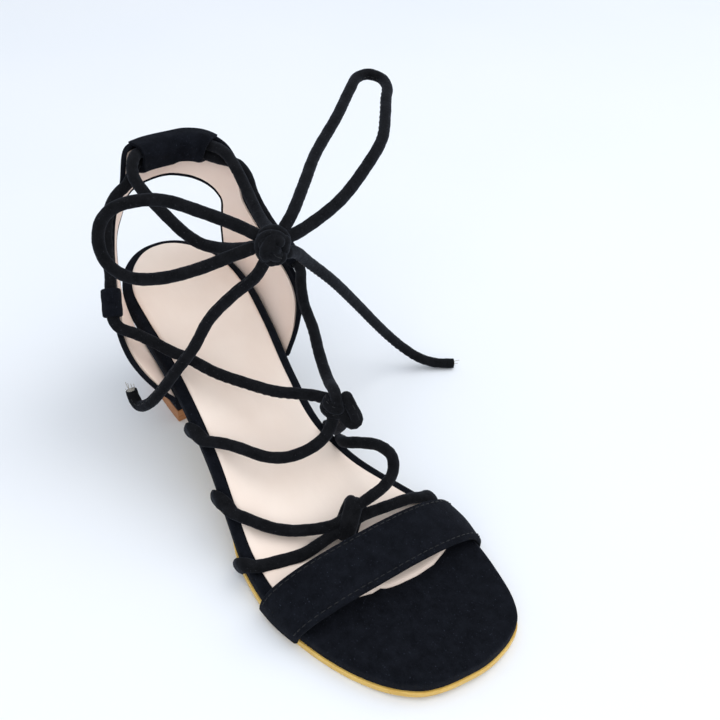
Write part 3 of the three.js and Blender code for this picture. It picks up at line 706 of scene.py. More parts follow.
# Free cords first: the ankle cord, the bow and its ends
BOW_KNOT = (70, 3, 120)
ANKLE_CORD = [
    (64, 1.6, 117), (53, 0.2, 110), (39.5, -3, 104), (31, -7, 103), (23, -10, 105), (15.5, -12, 108),
    (5, -13.8, 111.6), (-3, -14.8, 114.4), (-9.8, -14.8, 117.2), (-14, -13.2, 119.6), (-16.9, -11, 121),
    (-18.5, -9.4, 121.6), (-19.5, -8.2, 121.7), (-20.1, -6.8, 121.7), (-20.6, -5, 121.6),
    (-21, -2.4, 121.5), (-21.5, 1.9, 121.2), (-21.7, 6.3, 120.9), (-21.5, 9.7, 120.8), (-20.4, 13.1, 121.2),
    (-18.5, 16.7, 121.5), (-16, 20.7, 121.2), (-13, 23.4, 120.3), (-10.7, 24.7, 120.1), (-7, 25.4, 120.5),
    (-1, 26, 120), (8, 25, 117.6), (22, 22.5, 112.2), (36, 18.6, 110), (49, 15, 111.5), (58, 11.8, 115),
    (63, 8, 117.2),
]
BOW_LOOP_LATERAL = [
    (65, 0, 122.4), (58, -5, 125), (47, -14, 128.5), (35, -24, 131), (28, -33, 130),
    (24.5, -40, 127.5), (22.5, -44.5, 122.5), (22.5, -47, 115), (25.5, -47, 107.5),
    (30.5, -44.5, 103.3), (37, -40.5, 102.2), (46, -32.5, 104.5), (55.5, -21, 110),
    (62.5, -10.5, 115.8), (66, -4, 118.5),
]
BOW_LOOP_MEDIAL = [
    (68, 8, 122), (64.5, 15.5, 126), (53, 29.5, 130), (40.5, 43.7, 133), (24.8, 66.5, 138),
    (12, 83, 141.4), (6, 91.5, 142.6), (5.8, 98, 142.6), (11.5, 101, 142), (19, 98.5, 141.2),
    (26.5, 92, 140.2), (35.6, 84.5, 138.5), (47.5, 73.5, 135), (56, 59, 130.5),
    (65, 38.5, 125), (69.5, 18, 121.5), (70, 10, 120.5),
]
BOW_TAIL_LATERAL = [
    (69.4, 0.4, 114), (67.6, -3.4, 106.5), (61.8, -10.5, 97), (54.8, -18.5, 83.5), (53, -26, 70.5),
    (51, -34, 60.5), (48, -39.4, 51.2), (43, -44, 42), (36.5, -46, 37), (32.5, -46.2, 38.5),
    (31, -46.3, 42),
]
BOW_TAIL_MEDIAL = [
    (72.5, 8, 116), (69, 14, 112), (61.8, 26, 98.3), (57, 42, 80), (51, 60, 57),
    (48.2, 76, 35.5), (48, 86, 22.5), (50, 94, 13), (55, 100.5, 7), (60, 108, 3.4),
    (65, 116, 2.6),
]


def free_cord(name, points, start, far_end, lay):
    """A cord of the bow: its tube and stitches, with the path that it follows."""
    path = route(points)
    blunt = (False, far_end == "bare")
    piece, sewn = cord_piece(name + "_suede", [(path, start, blunt)])
    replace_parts(piece, name)
    return {"name": name, "piece": piece, "path": path, "far_end": far_end, "lay": lay, "on_it": [sewn]}


free = [
    free_cord("ankle_cord", ANKLE_CORD, (0, 0, 1), "object", "hanging"),
    free_cord("bow_loop_lateral", BOW_LOOP_LATERAL, (0, 0, 1), "object", "loose"),
    free_cord("bow_loop_medial", BOW_LOOP_MEDIAL, (0, 0, 1), "object", "loose"),
    free_cord("bow_tail_lateral", BOW_TAIL_LATERAL, (1, 0, 0), "bare", "hanging"),
    free_cord("bow_tail_medial", BOW_TAIL_MEDIAL, (1, 0, 0), "bare", "hanging"),
]


def bow_knot():
    """The bow's knot: a wrap round the middle, and the turns that cross behind it."""
    centre = np.array(BOW_KNOT, float)
    wrap = coil(centre, (-0.75, 0.65, 0.1), (0, 0, 1), 5.2, 2.1, 6.4, 2.2, 0.85)
    under = coil(centre - (0.5, 0.5, 0.8), (0.5, 0.6, 0.62), (1, -0.4, 0), 5.2, 1.3, 4.4, 0.6, 0.9)
    over = coil(centre + (1.6, -1.0, 0.6), (0.85, 0.25, -0.3), (0, 1, 0.2), 4.4, 1.4, 4.4, 4.2, 0.9)
    core = coil(centre + (2.0, -1.6, 1.6), (0.2, 0.9, 0.3), (0.6, 0, -0.8), 2.6, 1.6, 5.4, 1.0, 0.8)
    paths = [(route(points), (0.3, 0.2, 1), (False, False)) for points in (wrap, under, over, core)]
    return cord_piece("bow_knot_turns", paths)


bow_knot_piece, bow_knot_sewn = bow_knot()
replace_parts(bow_knot_piece, "bow_knot")


def frayed_end(name, path, count, reach=5.5, spread=0.5):
    """A few core threads that stand out of a cut end."""
    direction = unit(path[-1] - path[-2])
    points, faces = [], []
    for _ in range(count):
        lean = np.array([random.uniform(-1, 1) for _ in range(3)])
        base = path[-1] + np.cross(direction, lean) * CORD_RADIUS * 0.45 - direction * 1.0
        tip = base + (direction + lean * spread) * reach * random.uniform(0.6, 1.0)
        bend = (base + tip) / 2 + lean * 0.5
        line = route([base, bend, tip], 0.5)
        _, normals, sides = frames_along(line, lean + (0.01, 0.02, 0.03))
        first = len(points)
        for i, middle in enumerate(line):
            points += circle(middle, normals[i], sides[i], 0.2 * (1 - 0.4 * i / len(line)), 5)
        faces += loft_faces(len(line), 5, first)
    return make_piece(name, points, faces, CORE_THREAD, 70)


def cord_core(name, path):
    """The pale core at a cut end: a low dome set in the suede tube."""
    direction = unit(path[-1] - path[-2])
    _, normals, sides = frames_along(path, (1, 0, 0))
    rings = []
    for along, girth in ((-1.5, 0.66), (0.2, 0.66), (0.45, 0.5), (0.5, 0.25), (0.5, 0.05)):
        ring = np.array(circle(0, normals[-1], sides[-1], girth * CORD_RADIUS, 14))
        rough = [[1 + 0.06 * math.sin(10 * math.pi * k / 14)] for k in range(14)]
        rings.append(path[-1] + direction * along + ring * rough)
    return loft(name, rings, CORE_THREAD)


free[0]["on_it"] += [bow_knot_piece, bow_knot_sewn]
for tail, threads in ((free[3], 6), (free[4], 3)):
    tail["on_it"] += [frayed_end(tail["name"] + "_fray", tail["path"], threads),
                      cord_core(tail["name"] + "_core", tail["path"])]

# Lacing over the foot, fitted a little more closely than the solids
FRONT_KNOT = np.array((130.0, -1.0, 20.9))
KNOT_BAND = ((127.2, 3.8, 24.5), (132.9, -5.7, 16.5))
MIDDLE_KNOT = np.array((105.0, 10.0, 60.0))
MIDDLE_BIGHT = np.array((110.4, 11.4, 58.6))
FRONT_ACROSS = [
    (115.5, -40, 4.6), (114.6, -44.6, 4.7), (114.6, -47.4, 6.2), (116.2, -47.8, 9.6),
    (119.2, -45.8, 12.4), (122.6, -42.6, 12.9), (124, -39.3, 13.2), (125.3, -34.9, 13.8),
    (126.7, -29.9, 14.4), (128.5, -23.9, 15.4), (130, -17.2, 16.6), (131.2, -10.5, 18.2),
    (131.7, -3.4, 20), (131.5, 5, 20.4), (132, 12.6, 19.4), (132.6, 20.5, 18.2), (133, 28.8, 16.8),
    (133.5, 36.4, 15.4), (133.4, 41.8, 13.8), (134, 44.2, 10.4), (134, 44, 7), (133, 41.4, 5),
    (131, 37, 4.8),
]
FRONT_LATERAL = [
    (91, -35, 16.6), (89.6, -38.8, 16.4), (88.6, -41.4, 17.6), (88.8, -42.4, 20.6), (91, -42.4, 24),
    (95.4, -40.8, 25.4), (104.3, -37.6, 24.2), (109.2, -33.7, 22), (114.3, -28.9, 20), (117.4, -25.1, 19),
    (120.2, -21.7, 18.6), (123.1, -17.7, 18.6), (125.8, -14.2, 19.4), (129, -9, 21), (129.9, -3.1, 22.4),
]
FRONT_LOOP = [
    (128.5, 0.5, 22.5), (129.6, 3.4, 25.6), (131, 8, 28.8), (131.7, 14.5, 31.8), (129.8, 20.5, 34.6),
    (125, 23.8, 38), (116, 24, 37), (107.5, 20.5, 33.8), (99.5, 18.3, 29.2), (94.8, 20.8, 28),
    (92.6, 24, 24.8), (92, 24.6, 19.6), (91.4, 22, 15.6), (90, 18, 15),
]
MIDDLE_LATERAL = [
    (63.5, -30, 29), (61.6, -33.4, 29.4), (60.6, -36, 31), (61.2, -37.2, 34.4), (64, -37.3, 38.8),
    (72.4, -34.9, 40.4), (75.1, -32.7, 39.8), (78.1, -30.3, 39.2), (81.3, -27.4, 38.6),
    (85.3, -24.5, 38.2), (89.9, -21.7, 37.8), (94.3, -19, 37.8), (98, -15.8, 38.2), (101, -12.2, 39),
    (103.5, -8.1, 40.6), (105.3, -3.7, 42.6), (106.7, -0.1, 45.4), (107.4, 2.8, 48.6), (107, 5.6, 52.6),
    (106.6, 6.6, 57), (105, 8, 60),
]
MIDDLE_LOOP = [
    (106.5, 9.6, 61), (108.8, 11, 58), (108.4, 12, 53.6), (105, 13, 47.6), (101, 14, 41.4),
    (96.5, 15.4, 36), (91, 17.6, 32), (87, 20.6, 30.2), (85.4, 22.9, 26.5), (85, 22.8, 22),
    (84.5, 19, 19),
]
KEEPER_CORD_LATERAL = [
    (14.7, -42.6, 76.6), (16.4, -43.5, 74.6), (18.4, -44.5, 72.2), (21.6, -43.6, 69.2),
    (25, -38.8, 66.2), (29, -33, 61.8), (37, -28, 59), (43.5, -24, 58), (55.5, -18, 55.5),
    (66.5, -10, 53.5), (78.5, -3, 54), (88, 3, 56.5), (95, 7, 58.3), (103, 10, 60), (108, 12, 61),
]
KEEPER_CORD_MEDIAL = [
    (29.5, 38.5, 80.2), (32.5, 38.5, 78.9), (35.6, 38.6, 77.6), (39, 37.6, 75.9), (43, 34.8, 74.2),
    (53, 29.6, 70.2), (66.5, 25, 67), (77, 20.5, 63.5), (87, 16.5, 61.5), (95, 13.2, 62.2),
    (101, 10.6, 64.6), (105.6, 8.6, 64.4), (107.4, 8, 61.4), (106.4, 8.6, 58),
]
EDGE_CORD = [
    (13.9, -42.2, 77.6), (11.9, -41.2, 80), (10.2, -40.3, 81.9), (8, -39, 83.6), (5, -37.4, 86.2),
    (0, -35.4, 90.2), (-4, -33.4, 93.8), (-8.2, -30.8, 98), (-11.8, -27.6, 102.6), (-13.8, -24, 106.8),
    (-14.4, -20, 109.8), (-15.2, -15.6, 111.8), (-17, -12.6, 113.8), (-19.2, -10.4, 115.6),
    (-20.5, -8.9, 116.3), (-21.2, -7.4, 116.4), (-21.7, -5.6, 116.3), (-22.1, -3.1, 116.2),
    (-22.6, 1.3, 115.9), (-22.8, 5.8, 115.6), (-22.6, 9.2, 115.5), (-21.7, 12.3, 115.9),
    (-19.9, 15.9, 116.2), (-17.4, 19.8, 115.9), (-14.6, 22.5, 115.1), (-12, 24, 114.7), (-8.3, 25.9, 114.7),
    (-4.1, 28.3, 114.7), (-0.8, 31.2, 113.6), (1.1, 33.7, 109.8), (2.6, 34.7, 105.8), (4.9, 35, 100.9),
    (8.7, 35.6, 96.2), (13.6, 36.6, 91.2), (18.5, 37.8, 86.8), (23.6, 38.5, 82.8), (28.7, 38.5, 80.6),
]


def bight(centre, along, axis, length, half):
    """Points of a narrow doubled loop of cord that lies square to an axis."""
    along = unit(along)
    across = unit(np.cross(axis, along))
    outline = [(-length, half), (-0.5 * length, half), (0, half), (0.45 * length, half)]
    outline += [(0.45 * length + half * math.sin(a), half * math.cos(a)) for a in (0.8, 1.57, 2.34)]
    outline += [(0.45 * length, -half), (0, -half), (-0.5 * length, -half), (-length, -half)]
    return [centre + along * u + across * v for u, v in outline]


def fixed_cords(name, node, cords):
    """A joined piece of laid cords that stands for a lacing node."""
    paths = [(route(points), start, (False, False)) for points, start in cords]
    piece, _ = cord_piece(name, paths, on_foot=True)
    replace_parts(piece, node)


front_band = np.array(KNOT_BAND[1]) - KNOT_BAND[0]
band_side = np.cross(front_band, (0.3, 0, 1))
front_wrap = coil(FRONT_KNOT, band_side, front_band, np.linalg.norm(front_band) / 2, 2.2, 5.4, 3.6, 0.56)
fixed_cords("lacing_front_cords", "lacing_front",
            [(FRONT_ACROSS, (1, 0, 0)), (FRONT_LATERAL, (1, 0, 0)), (FRONT_LOOP, (0, 0, 1)),
             (front_wrap, (0, 1, 0))])
middle_wrap = coil(MIDDLE_KNOT + (-0.5, -1, -1.5), (0.25, 0.2, 1), (1, 0, 0), 3.6, 1.8, 5.6, 0.8)
middle_bight = bight(MIDDLE_BIGHT, (0.7, 0.08, -0.71), (0.45, -0.8, 0.4), 6.0, 2.3)
fixed_cords("lacing_middle_cords", "lacing_middle",
            [(MIDDLE_LATERAL, (1, 0, 0)), (MIDDLE_LOOP, (1, 0, 0)), (KEEPER_CORD_LATERAL, (0, 0, 1)),
             (KEEPER_CORD_MEDIAL, (0, 0, 1)), (middle_wrap, (0, 0, 1)), (middle_bight, (0, 1, 0))])
fixed_cords("edge_cord_laid", "edge_cord", [(EDGE_CORD, (0, 0, 1))])

# Footbed: a board wrapped in suede, its edge rolled over
FOOT_SHARES = foot_shares(184)
footbed_layers = [(constant(inset), lambda x, u=up: board_bottom(x) + u)
                  for inset, up in ((1.2, -0.35), (0.4, -0.4), (0.1, 0), (0.0, 1.2))]
for step in range(6):
    angle = math.radians(18 * step)
    footbed_layers.append((constant(ROUND * (1 - math.cos(angle))),
                           lambda x, a=angle: foot_top(x) - ROUND * (1 - math.sin(a))))


def cover_crown(x, y, s):
    """The suede cover bulges slightly over its padding at the toes."""
    swell = np.clip((x - 160) / 20, 0, 1) * np.clip((206 - x) / 25, 0, 1)
    return 0.35 * swell * math.sin(math.pi * s) + 0.05 * np.sin(x * 0.21) * np.sin(y * 0.17)


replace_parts(slab("footbed_wrap", FOOT_SHARES, footbed_layers, 18, BLACK_SUEDE, cover_crown),
            "footbed")

# Sock lining, its front edge bowed with a small nick
NICK_Y = -7.5
NICK_WIDTH = 1.8
SOCK_EDGE_DROP = 0.75
SOCK_FRONT = [(-41, 152.5), (-30, 154.2), (-21, 155.6), (-15, 157.2), (-9, 159.2), (0, 161.2), (9, 162.2),
              (18, 161.8), (25.5, 159.4), (32, 156.6), (42, 153.5)]


def sock_front(y):
    front = np.interp(y, *zip(*SOCK_FRONT))
    return front - 1.3 * np.exp(-((y - NICK_Y) / NICK_WIDTH) ** 2)


def sock_lining():
    """A thin sheet on the footbed: rows from the heel to the bowed front, columns across."""
    rows, columns = 110, 40
    shares = foot_shares(rows, share_at("lateral", SOCK_FRONT_X - 2))
    grid = []
    for t in shares:
        lateral = edge_points("lateral", t, SOCK_INSET)[0]
        medial = edge_points("medial", t, SOCK_INSET)[0]
        grid.append([lateral * (1 - c / columns) + medial * c / columns for c in range(columns + 1)])
    grid = np.array(grid)
    rear, front = 120.0, grid[-1, :, 0].mean()
    stretch = np.clip((grid[:, :, 0] - rear) / (front - rear), 0, 1)
    grid[:, :, 0] += stretch * (sock_front(grid[:, :, 1]) - front)
    dimple = 0.12 * np.sin(grid[:, :, 0] * 0.11 + 1) * np.sin(grid[:, :, 1] * 0.13)
    base = foot_top(grid[:, :, 0])
    top = grid.copy()
    top[:, :, 2] = base + GAP + SOCK_THICKNESS + 0.3 + dimple
    bottom = grid.copy()
    bottom[:, :, 2] = base + 0.1
    top[0, :, 2] -= SOCK_EDGE_DROP
    top[-1, :, 2] -= SOCK_EDGE_DROP
    top[1:-1, 0, 2] -= SOCK_EDGE_DROP
    top[1:-1, -1, 2] -= SOCK_EDGE_DROP
    return two_sheets("sock_sheet", top, bottom, NUDE_LINING, 60)


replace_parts(sock_lining(), "sock_lining")

# Outsole
WAIST_THICKNESS = OUTSOLE_THICKNESS * 0.6
outsole_inset = smooth_line([(HEEL_BACK_X, OUTSOLE_WAIST_INSET), (plan_x(0.49), OUTSOLE_WAIST_INSET),
                             (plan_x(0.61), -OUTSOLE_WELT), (plan_x(1), -OUTSOLE_WELT)])
outsole_thickness = smooth_line([(HEEL_BACK_X, WAIST_THICKNESS), (plan_x(0.45), WAIST_THICKNESS),
                                 (plan_x(0.7), OUTSOLE_THICKNESS), (plan_x(1), OUTSOLE_THICKNESS)])


def outsole_bottom(x):
    return np.maximum(0, seam(x) - outsole_thickness(x))


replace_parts(slab("outsole_edge", FOOT_SHARES, [
    (lambda x: outsole_inset(x) + 0.9, outsole_bottom),
    (lambda x: outsole_inset(x) + 0.3, lambda x: outsole_bottom(x) + 0.2),
    (outsole_inset, lambda x: outsole_bottom(x) + 0.7),
    (outsole_inset, lambda x: seam(x) - 0.25),
    (lambda x: outsole_inset(x) + 0.2, seam),
], 8, OCHRE_SOLE), "outsole")


# Heel block and top lift
def heel_rows(rows):
    """The heel's top and bottom outlines, each as rows of a lateral and a medial point."""
    result = []
    for i in range(rows + 1):
        s = i / rows
        back_x = HEEL_BACK_X + HEEL_TOP_INSET
        top_x = back_x + (HEEL_BREAST_TOP_X - back_x) * s * s * (1.6 - 0.6 * s)
        pair = {}
        for side, turn in (("lateral", -1), ("medial", 1)):
            top = edge_at(side, top_x, HEEL_TOP_INSET + OUTSOLE_WAIST_INSET * 0.3)
            top[2] = outsole_bottom(top[0]) - GAP
            share = (top[0] - back_x) / (HEEL_BREAST_TOP_X - back_x)
            bottom_x = HEEL_BOTTOM_BACK_X + share * (HEEL_BREAST_BOTTOM_X - HEEL_BOTTOM_BACK_X)
            bottom_y = turn * HEEL_BOTTOM_HALF_WIDTH * abs(top[1]) / 28
            pair[side] = (top, np.array([bottom_x, bottom_y, TOP_LIFT_HEIGHT + GAP]))
        result.append(pair)
    return result


def heel_outline(level, rows):
    """The heel's closed outline at a level from 0, its foot, to 1, its top."""
    lateral = [p["lateral"][1] * (1 - level) + p["lateral"][0] * level for p in rows]
    medial = [p["medial"][1] * (1 - level) + p["medial"][0] * level for p in rows]
    return np.array(lateral + medial[::-1])


def shrunk(outline, inset, z=None):
    """An outline drawn in by inset towards its own middle."""
    middle = outline.mean(axis=0)
    away = outline - middle
    away[:, 2] = 0
    moved = outline - unit(away) * inset
    if z is not None:
        moved[:, 2] = z
    return moved


HEEL_ROWS = heel_rows(40)
levels = [heel_outline(level, HEEL_ROWS) for level in np.linspace(0, 1, 12)]
waisted = [shrunk(o, 0.5 * math.sin(math.pi * k / 11)) for k, o in enumerate(levels)]
waisted[0] = shrunk(waisted[0], 0.5)
rolled = waisted[0].copy()
rolled[:, 2] += 0.6
rolled = shrunk(rolled, -0.5)
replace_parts(loft("heel_cover", [waisted[0], rolled] + waisted[1:], BLACK_SUEDE),
            "heel_block")
lift = heel_outline(0, HEEL_ROWS)
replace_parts(loft("heel_lift", [
    shrunk(lift, 0.6, 0.0), shrunk(lift, 0.0, 0.6), shrunk(lift, 0.0, 3.2), shrunk(lift, 0.25, 3.4),
    shrunk(lift, 0.25, 3.6), shrunk(lift, 0.0, 3.8), shrunk(lift, 0.0, TOP_LIFT_HEIGHT - 0.3),
    shrunk(lift, 0.3, TOP_LIFT_HEIGHT),
], TAN_LIFT), "top_lift")

# Vamp strap: a folded suede strap, sewn near both edges
ARCH_POWER = 2.5
STRAP_SEAM_INSET = 1.9


def strap_point(share, place, level):
    """A point of the strap: share over the arch, place from its rear to its front edge,
    level in millimetres out of its middle surface."""
    angle = math.pi * share
    across = math.copysign(abs(math.cos(angle)) ** (2 / ARCH_POWER), math.cos(angle))
    up = math.sin(angle) ** (2 / ARCH_POWER)
    offset = place * STRAP_WIDTH
    height = STRAP_REAR_HEIGHT + (STRAP_FRONT_HEIGHT - STRAP_REAR_HEIGHT) * place
    height += 0.6 * math.sin(math.pi * place)
    x = STRAP_LATERAL_X + (STRAP_MEDIAL_X - STRAP_LATERAL_X) * share + offset
    key = round(place, 4)
    if key not in strap_point.reach:
        strap_point.reach[key] = (-edge_at("lateral", STRAP_LATERAL_X + offset)[1],
                                  edge_at("medial", STRAP_MEDIAL_X + offset)[1])
    lateral, medial = strap_point.reach[key]
    reach = (lateral + medial) / 2 + 0.8 + STRAP_THICKNESS / 2 + level
    rise = BOARD_THICKNESS + height + level
    bow = STRAP_BOW * math.sin(angle)
    return np.array([x + bow, (medial - lateral) / 2 - reach * across, float(seam(x)) + 2 * GAP + rise * up])


strap_point.reach = {}


def strap_section():
    """Places and levels round the strap's section, its edges folded round."""
    half = STRAP_THICKNESS / 2
    tip = half / STRAP_WIDTH
    turns = [math.pi * k / 5 for k in range(1, 5)]
    steps = [k / 12 for k in range(13)]
    section = [(tip + (1 - 2 * tip) * s, half - 0.10 * math.cos(2 * math.pi * s)) for s in steps]
    section += [(1 - tip + tip * math.sin(a), half * math.cos(a)) for a in turns]
    section += [(1 - tip - (1 - 2 * tip) * s, -half) for s in steps]
    section += [(tip - tip * math.sin(a), -half * math.cos(a)) for a in turns]
    return section


def vamp_strap():
    section = strap_section()
    shares = [k / 90 for k in range(91)]
    rings = np.array([[strap_point(t, place, level + 0.10 * math.sin(40 * t) * math.sin(9 * place))
                       for place, level in section] for t in shares])
    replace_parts(loft("strap_fold", rings[:, ::-1], BLACK_SUEDE), "vamp_strap")
    lines = []
    for inset in (STRAP_SEAM_INSET, STRAP_WIDTH - STRAP_SEAM_INSET):
        path, raised = (np.array([strap_point(k / 400, inset / STRAP_WIDTH, STRAP_THICKNESS / 2 + out)
                                  for k in range(6, 395)]) for out in (0.02, 1))
        lines.append(sewn_line(path, raised))
    stitches("strap_stitches", lines, BLACK_THREAD, 3.0, 2.0, 0.22)


vamp_strap()

# Heel counter: side, place of its foot, forward lean, outward reach and share of the height
COUNTER = [
    ("lateral", 1.00, 0, 1.5, 0.03), ("lateral", 0.86, 2, 7, 0.07), ("lateral", 0.69, 3.5, 11, 0.1),
    ("lateral", 0.50, 4, 13, 0.13), ("lateral", 0.29, 5, 12.8, 0.2), ("lateral", 0.10, 7, 10.4, 0.30),
    ("lateral", -0.06, 6, 6.6, 0.40), ("lateral", -0.21, 4, 3.4, 0.48), ("lateral", -0.34, 2, 0, 0.59),
    ("lateral", -0.46, 4, -3, 0.715), ("lateral", -0.55, 4.2, -4.2, 0.895),
    ("lateral", -0.62, 5.5, -4.5, 0.892),
    ("medial", -0.646, 6, 5, 0.876), ("medial", -0.62, 7.5, 8.5, 0.888), ("medial", -0.55, 9.5, 10, 0.885),
    ("medial", -0.46, 13, 10, 0.85), ("medial", -0.34, 13, 8.5, 0.74), ("medial", -0.21, 12, 6.6, 0.60),
    ("medial", -0.06, 14, 6.8, 0.48), ("medial", 0.12, 16, 8, 0.37), ("medial", 0.35, 16, 9, 0.33),
    ("medial", 0.62, 13, 9, 0.28), ("medial", 0.86, 6, 6, 0.15), ("medial", 1.00, 1, 1.5, 0.03),
]


def counter_rails():
    """Foot and top lines of the counter's middle surface."""
    foot, top = [], []
    for side, at, lean, out, rise in COUNTER:
        turn = 1 if side == "medial" else -1
        base = edge_at(side, at * COUNTER_FRONT_X, -(GAP + 0.2 + COUNTER_WALL / 2))
        foot.append((base[0], base[1], float(seam(base[0]))))
        edge = edge_at(side, at * COUNTER_FRONT_X)
        top.append((edge[0] + lean, edge[1] + turn * out, float(seam(edge[0])) + rise * COUNTER_HEIGHT))
    return foot, top


PIPING_RADIUS = 1.12
COUNTER_FOOT, COUNTER_TOP = counter_rails()


def counter_points(shares, levels):
    """Grid of the counter's middle surface."""
    foot = catmull(COUNTER_FOOT, shares)[:, None, :]
    top = catmull(COUNTER_TOP, shares)[:, None, :]
    level = np.atleast_2d(np.asarray(levels, float))[:, :, None]
    sway = level ** 1.5
    grid = foot * (1 - sway) + top * sway
    grid[:, :, 2] = (foot * (1 - level) + top * level)[:, :, 2]
    return grid


def counter_inward(shares, levels):
    """Unit normals of the counter's middle surface, into the shoe."""
    along = counter_points(shares + 1e-3, levels) - counter_points(shares - 1e-3, levels)
    lower = counter_points(shares, np.maximum(levels - 1e-3, 0))
    up = counter_points(shares, levels + 1e-3) - lower
    return unit(np.cross(along, up))


def sheet_shell(name, grid, normals, low, high, material):
    """A shell between two offsets of a grid, low and high along its inward normals."""
    return two_sheets(name, grid + normals * high, grid + normals * low, material)


# The window's edge seen from behind: share of the half width, share of the height
WINDOW = [(-0.60, 0.28), (-0.575, 0.36), (-0.50, 0.44), (-0.37, 0.525), (-0.16, 0.59), (0.10, 0.61),
          (0.36, 0.59), (0.54, 0.54), (0.615, 0.46), (0.62, 0.36), (0.61, 0.24)]


def window_line():
    """The window's edge seen from behind, from its lateral to its medial foot."""
    base = float(seam(HEEL_BACK_X))
    points = [(0, y * BALL_HALF_WIDTH, base + z * COUNTER_HEIGHT - 1) for y, z in WINDOW]
    curve = catmull(points, np.linspace(0, 1, 90))
    first = [(0, -0.62 * BALL_HALF_WIDTH, base - 20)]
    return np.vstack([first, curve, [(0, 0.62 * BALL_HALF_WIDTH, base - 20)]])


def in_window(grid):
    """Which points of a grid lie in the window, seen from behind."""
    line = window_line()[:, 1:]
    y, z = grid[:, :, 1], grid[:, :, 2]
    hit = np.zeros(y.shape, bool)
    for (y0, z0), (y1, z1) in zip(line, np.roll(line, -1, axis=0)):
        if z0 != z1:
            hit ^= ((z0 > z) != (z1 > z)) & (y < y0 + (y1 - y0) * (z - z0) / (z1 - z0))
    return hit & (grid[:, :, 0] < -2)


def counter_stations(step):
    """Shares along the counter and the levels where its wall begins, a step apart on that edge."""
    shares = np.linspace(0, 1, 1600)
    levels = np.linspace(0, 0.95, 400)
    opened = in_window(counter_points(shares, levels))
    starts = np.where(opened.any(axis=1), levels[levels.size - 1 - opened[:, ::-1].argmax(axis=1)], 0)
    edge = counter_points(shares, starts[:, None])[:, 0]
    far = np.concatenate([[0], np.cumsum(np.linalg.norm(np.diff(edge, axis=0), axis=1))])
    at = np.linspace(0, far[-1], int(far[-1] / step))
    return np.interp(at, far, shares), np.interp(at, far, starts)


COUNTER_SHARES, COUNTER_STARTS = counter_stations(1.5)
climb = np.linspace(0, 1, 30)
COUNTER_LEVELS = COUNTER_STARTS[:, None] * (1 - climb) + climb
counter_grid = counter_points(COUNTER_SHARES, COUNTER_LEVELS)
inward = counter_inward(COUNTER_SHARES, COUNTER_LEVELS)
outer_shell = sheet_shell("counter_suede", counter_grid, inward, -1.0, 0.1, BLACK_SUEDE)
# The lining inside the counter, in colours brightened as painted light
sheet_shell("counter_lining", counter_grid[1:-1, 1:-3], inward[1:-1, 1:-3], 0.12, 1.0,
            COUNTER_LINING_PAINTED_LIGHT)
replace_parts(outer_shell, "heel_counter")


def piping(name, path, start):
    """A thin folded edge along a line."""
    _, normals, sides = frames_along(path, start)
    rings = [circle(*row, PIPING_RADIUS, 10) for row in zip(path, normals, sides)]
    return loft(name, rings, BLACK_SUEDE, 70)


opened = np.flatnonzero(COUNTER_STARTS > 0)
window_rim = counter_grid[opened[0] - 1:opened[-1] + 2, 0]
piping("window_piping", resample(window_rim, 1.0), (1, 0, 0.2))
top_rim = resample(catmull(COUNTER_TOP, np.linspace(0, 1, 400)), 1.2)
piping("counter_piping", top_rim, (0, 1, 0))

# Tunnel: a suede tab folded over the counter's top edge
TUNNEL_START = 0.455
TUNNEL_END = 0.628
wall_face = COUNTER_WALL / 2
lane_depth = wall_face + CORD_DIAMETER + 5 * GAP
TUNNEL_SECTION = [
    (-wall_face, 2 * GAP), (-wall_face, 2 * GAP + TUNNEL_WALL), (lane_depth - 2, 1.2 + TUNNEL_WALL),
    (lane_depth + TUNNEL_WALL, -1.2), (lane_depth + TUNNEL_WALL, -TUNNEL_HEIGHT + 3.2),
    (wall_face + GAP + TUNNEL_WALL, -TUNNEL_HEIGHT), (wall_face + 1.5 * GAP, -TUNNEL_HEIGHT),
    (wall_face + 1.5 * GAP, -TUNNEL_HEIGHT + 1.4), (lane_depth, -TUNNEL_HEIGHT + 3.8), (lane_depth, -1.8),
    (lane_depth - 2.4, 1.0), (wall_face, 2 * GAP),
]


def tunnel_point(t, n, u):
    """A point n inward and u up from the counter's top edge at share t."""
    top = catmull(COUNTER_TOP, t)[0]
    foot = catmull(COUNTER_FOOT, t)[0]
    along = catmull(COUNTER_TOP, t + 0.01)[0] - catmull(COUNTER_TOP, t - 0.01)[0]
    up = top - counter_points([t], [0.8])[0, 0]
    inward = unit(np.cross(along, up))
    up = unit(np.cross(inward, along))
    wall = counter_points([t], [1 + min(u, 0) / np.linalg.norm(top - foot)])[0, 0]
    return wall + inward * n + up * max(u, 0)


def rounded(section, cuts=2):
    """A closed section with its corners cut, as a fold is."""
    points = [np.array(p, float) for p in section]
    for _ in range(cuts):
        softer = []
        for a, b in zip(points, points[1:] + points[:1]):
            length = np.linalg.norm(b - a)
            share = min(0.25, 0.9 / max(length, 1e-6))
            softer += [a + (b - a) * share, b + (a - b) * share]
        points = softer
    return points


tunnel_shares = np.linspace(TUNNEL_START, TUNNEL_END, 46)
tunnel_section = rounded(TUNNEL_SECTION)


def hem_rise(t):
    """How much shorter the tab hangs near its two mouths."""
    near = min(t - TUNNEL_START, TUNNEL_END - t) / 0.014
    return 1 - 0.2 * max(0, 1 - near) ** 2


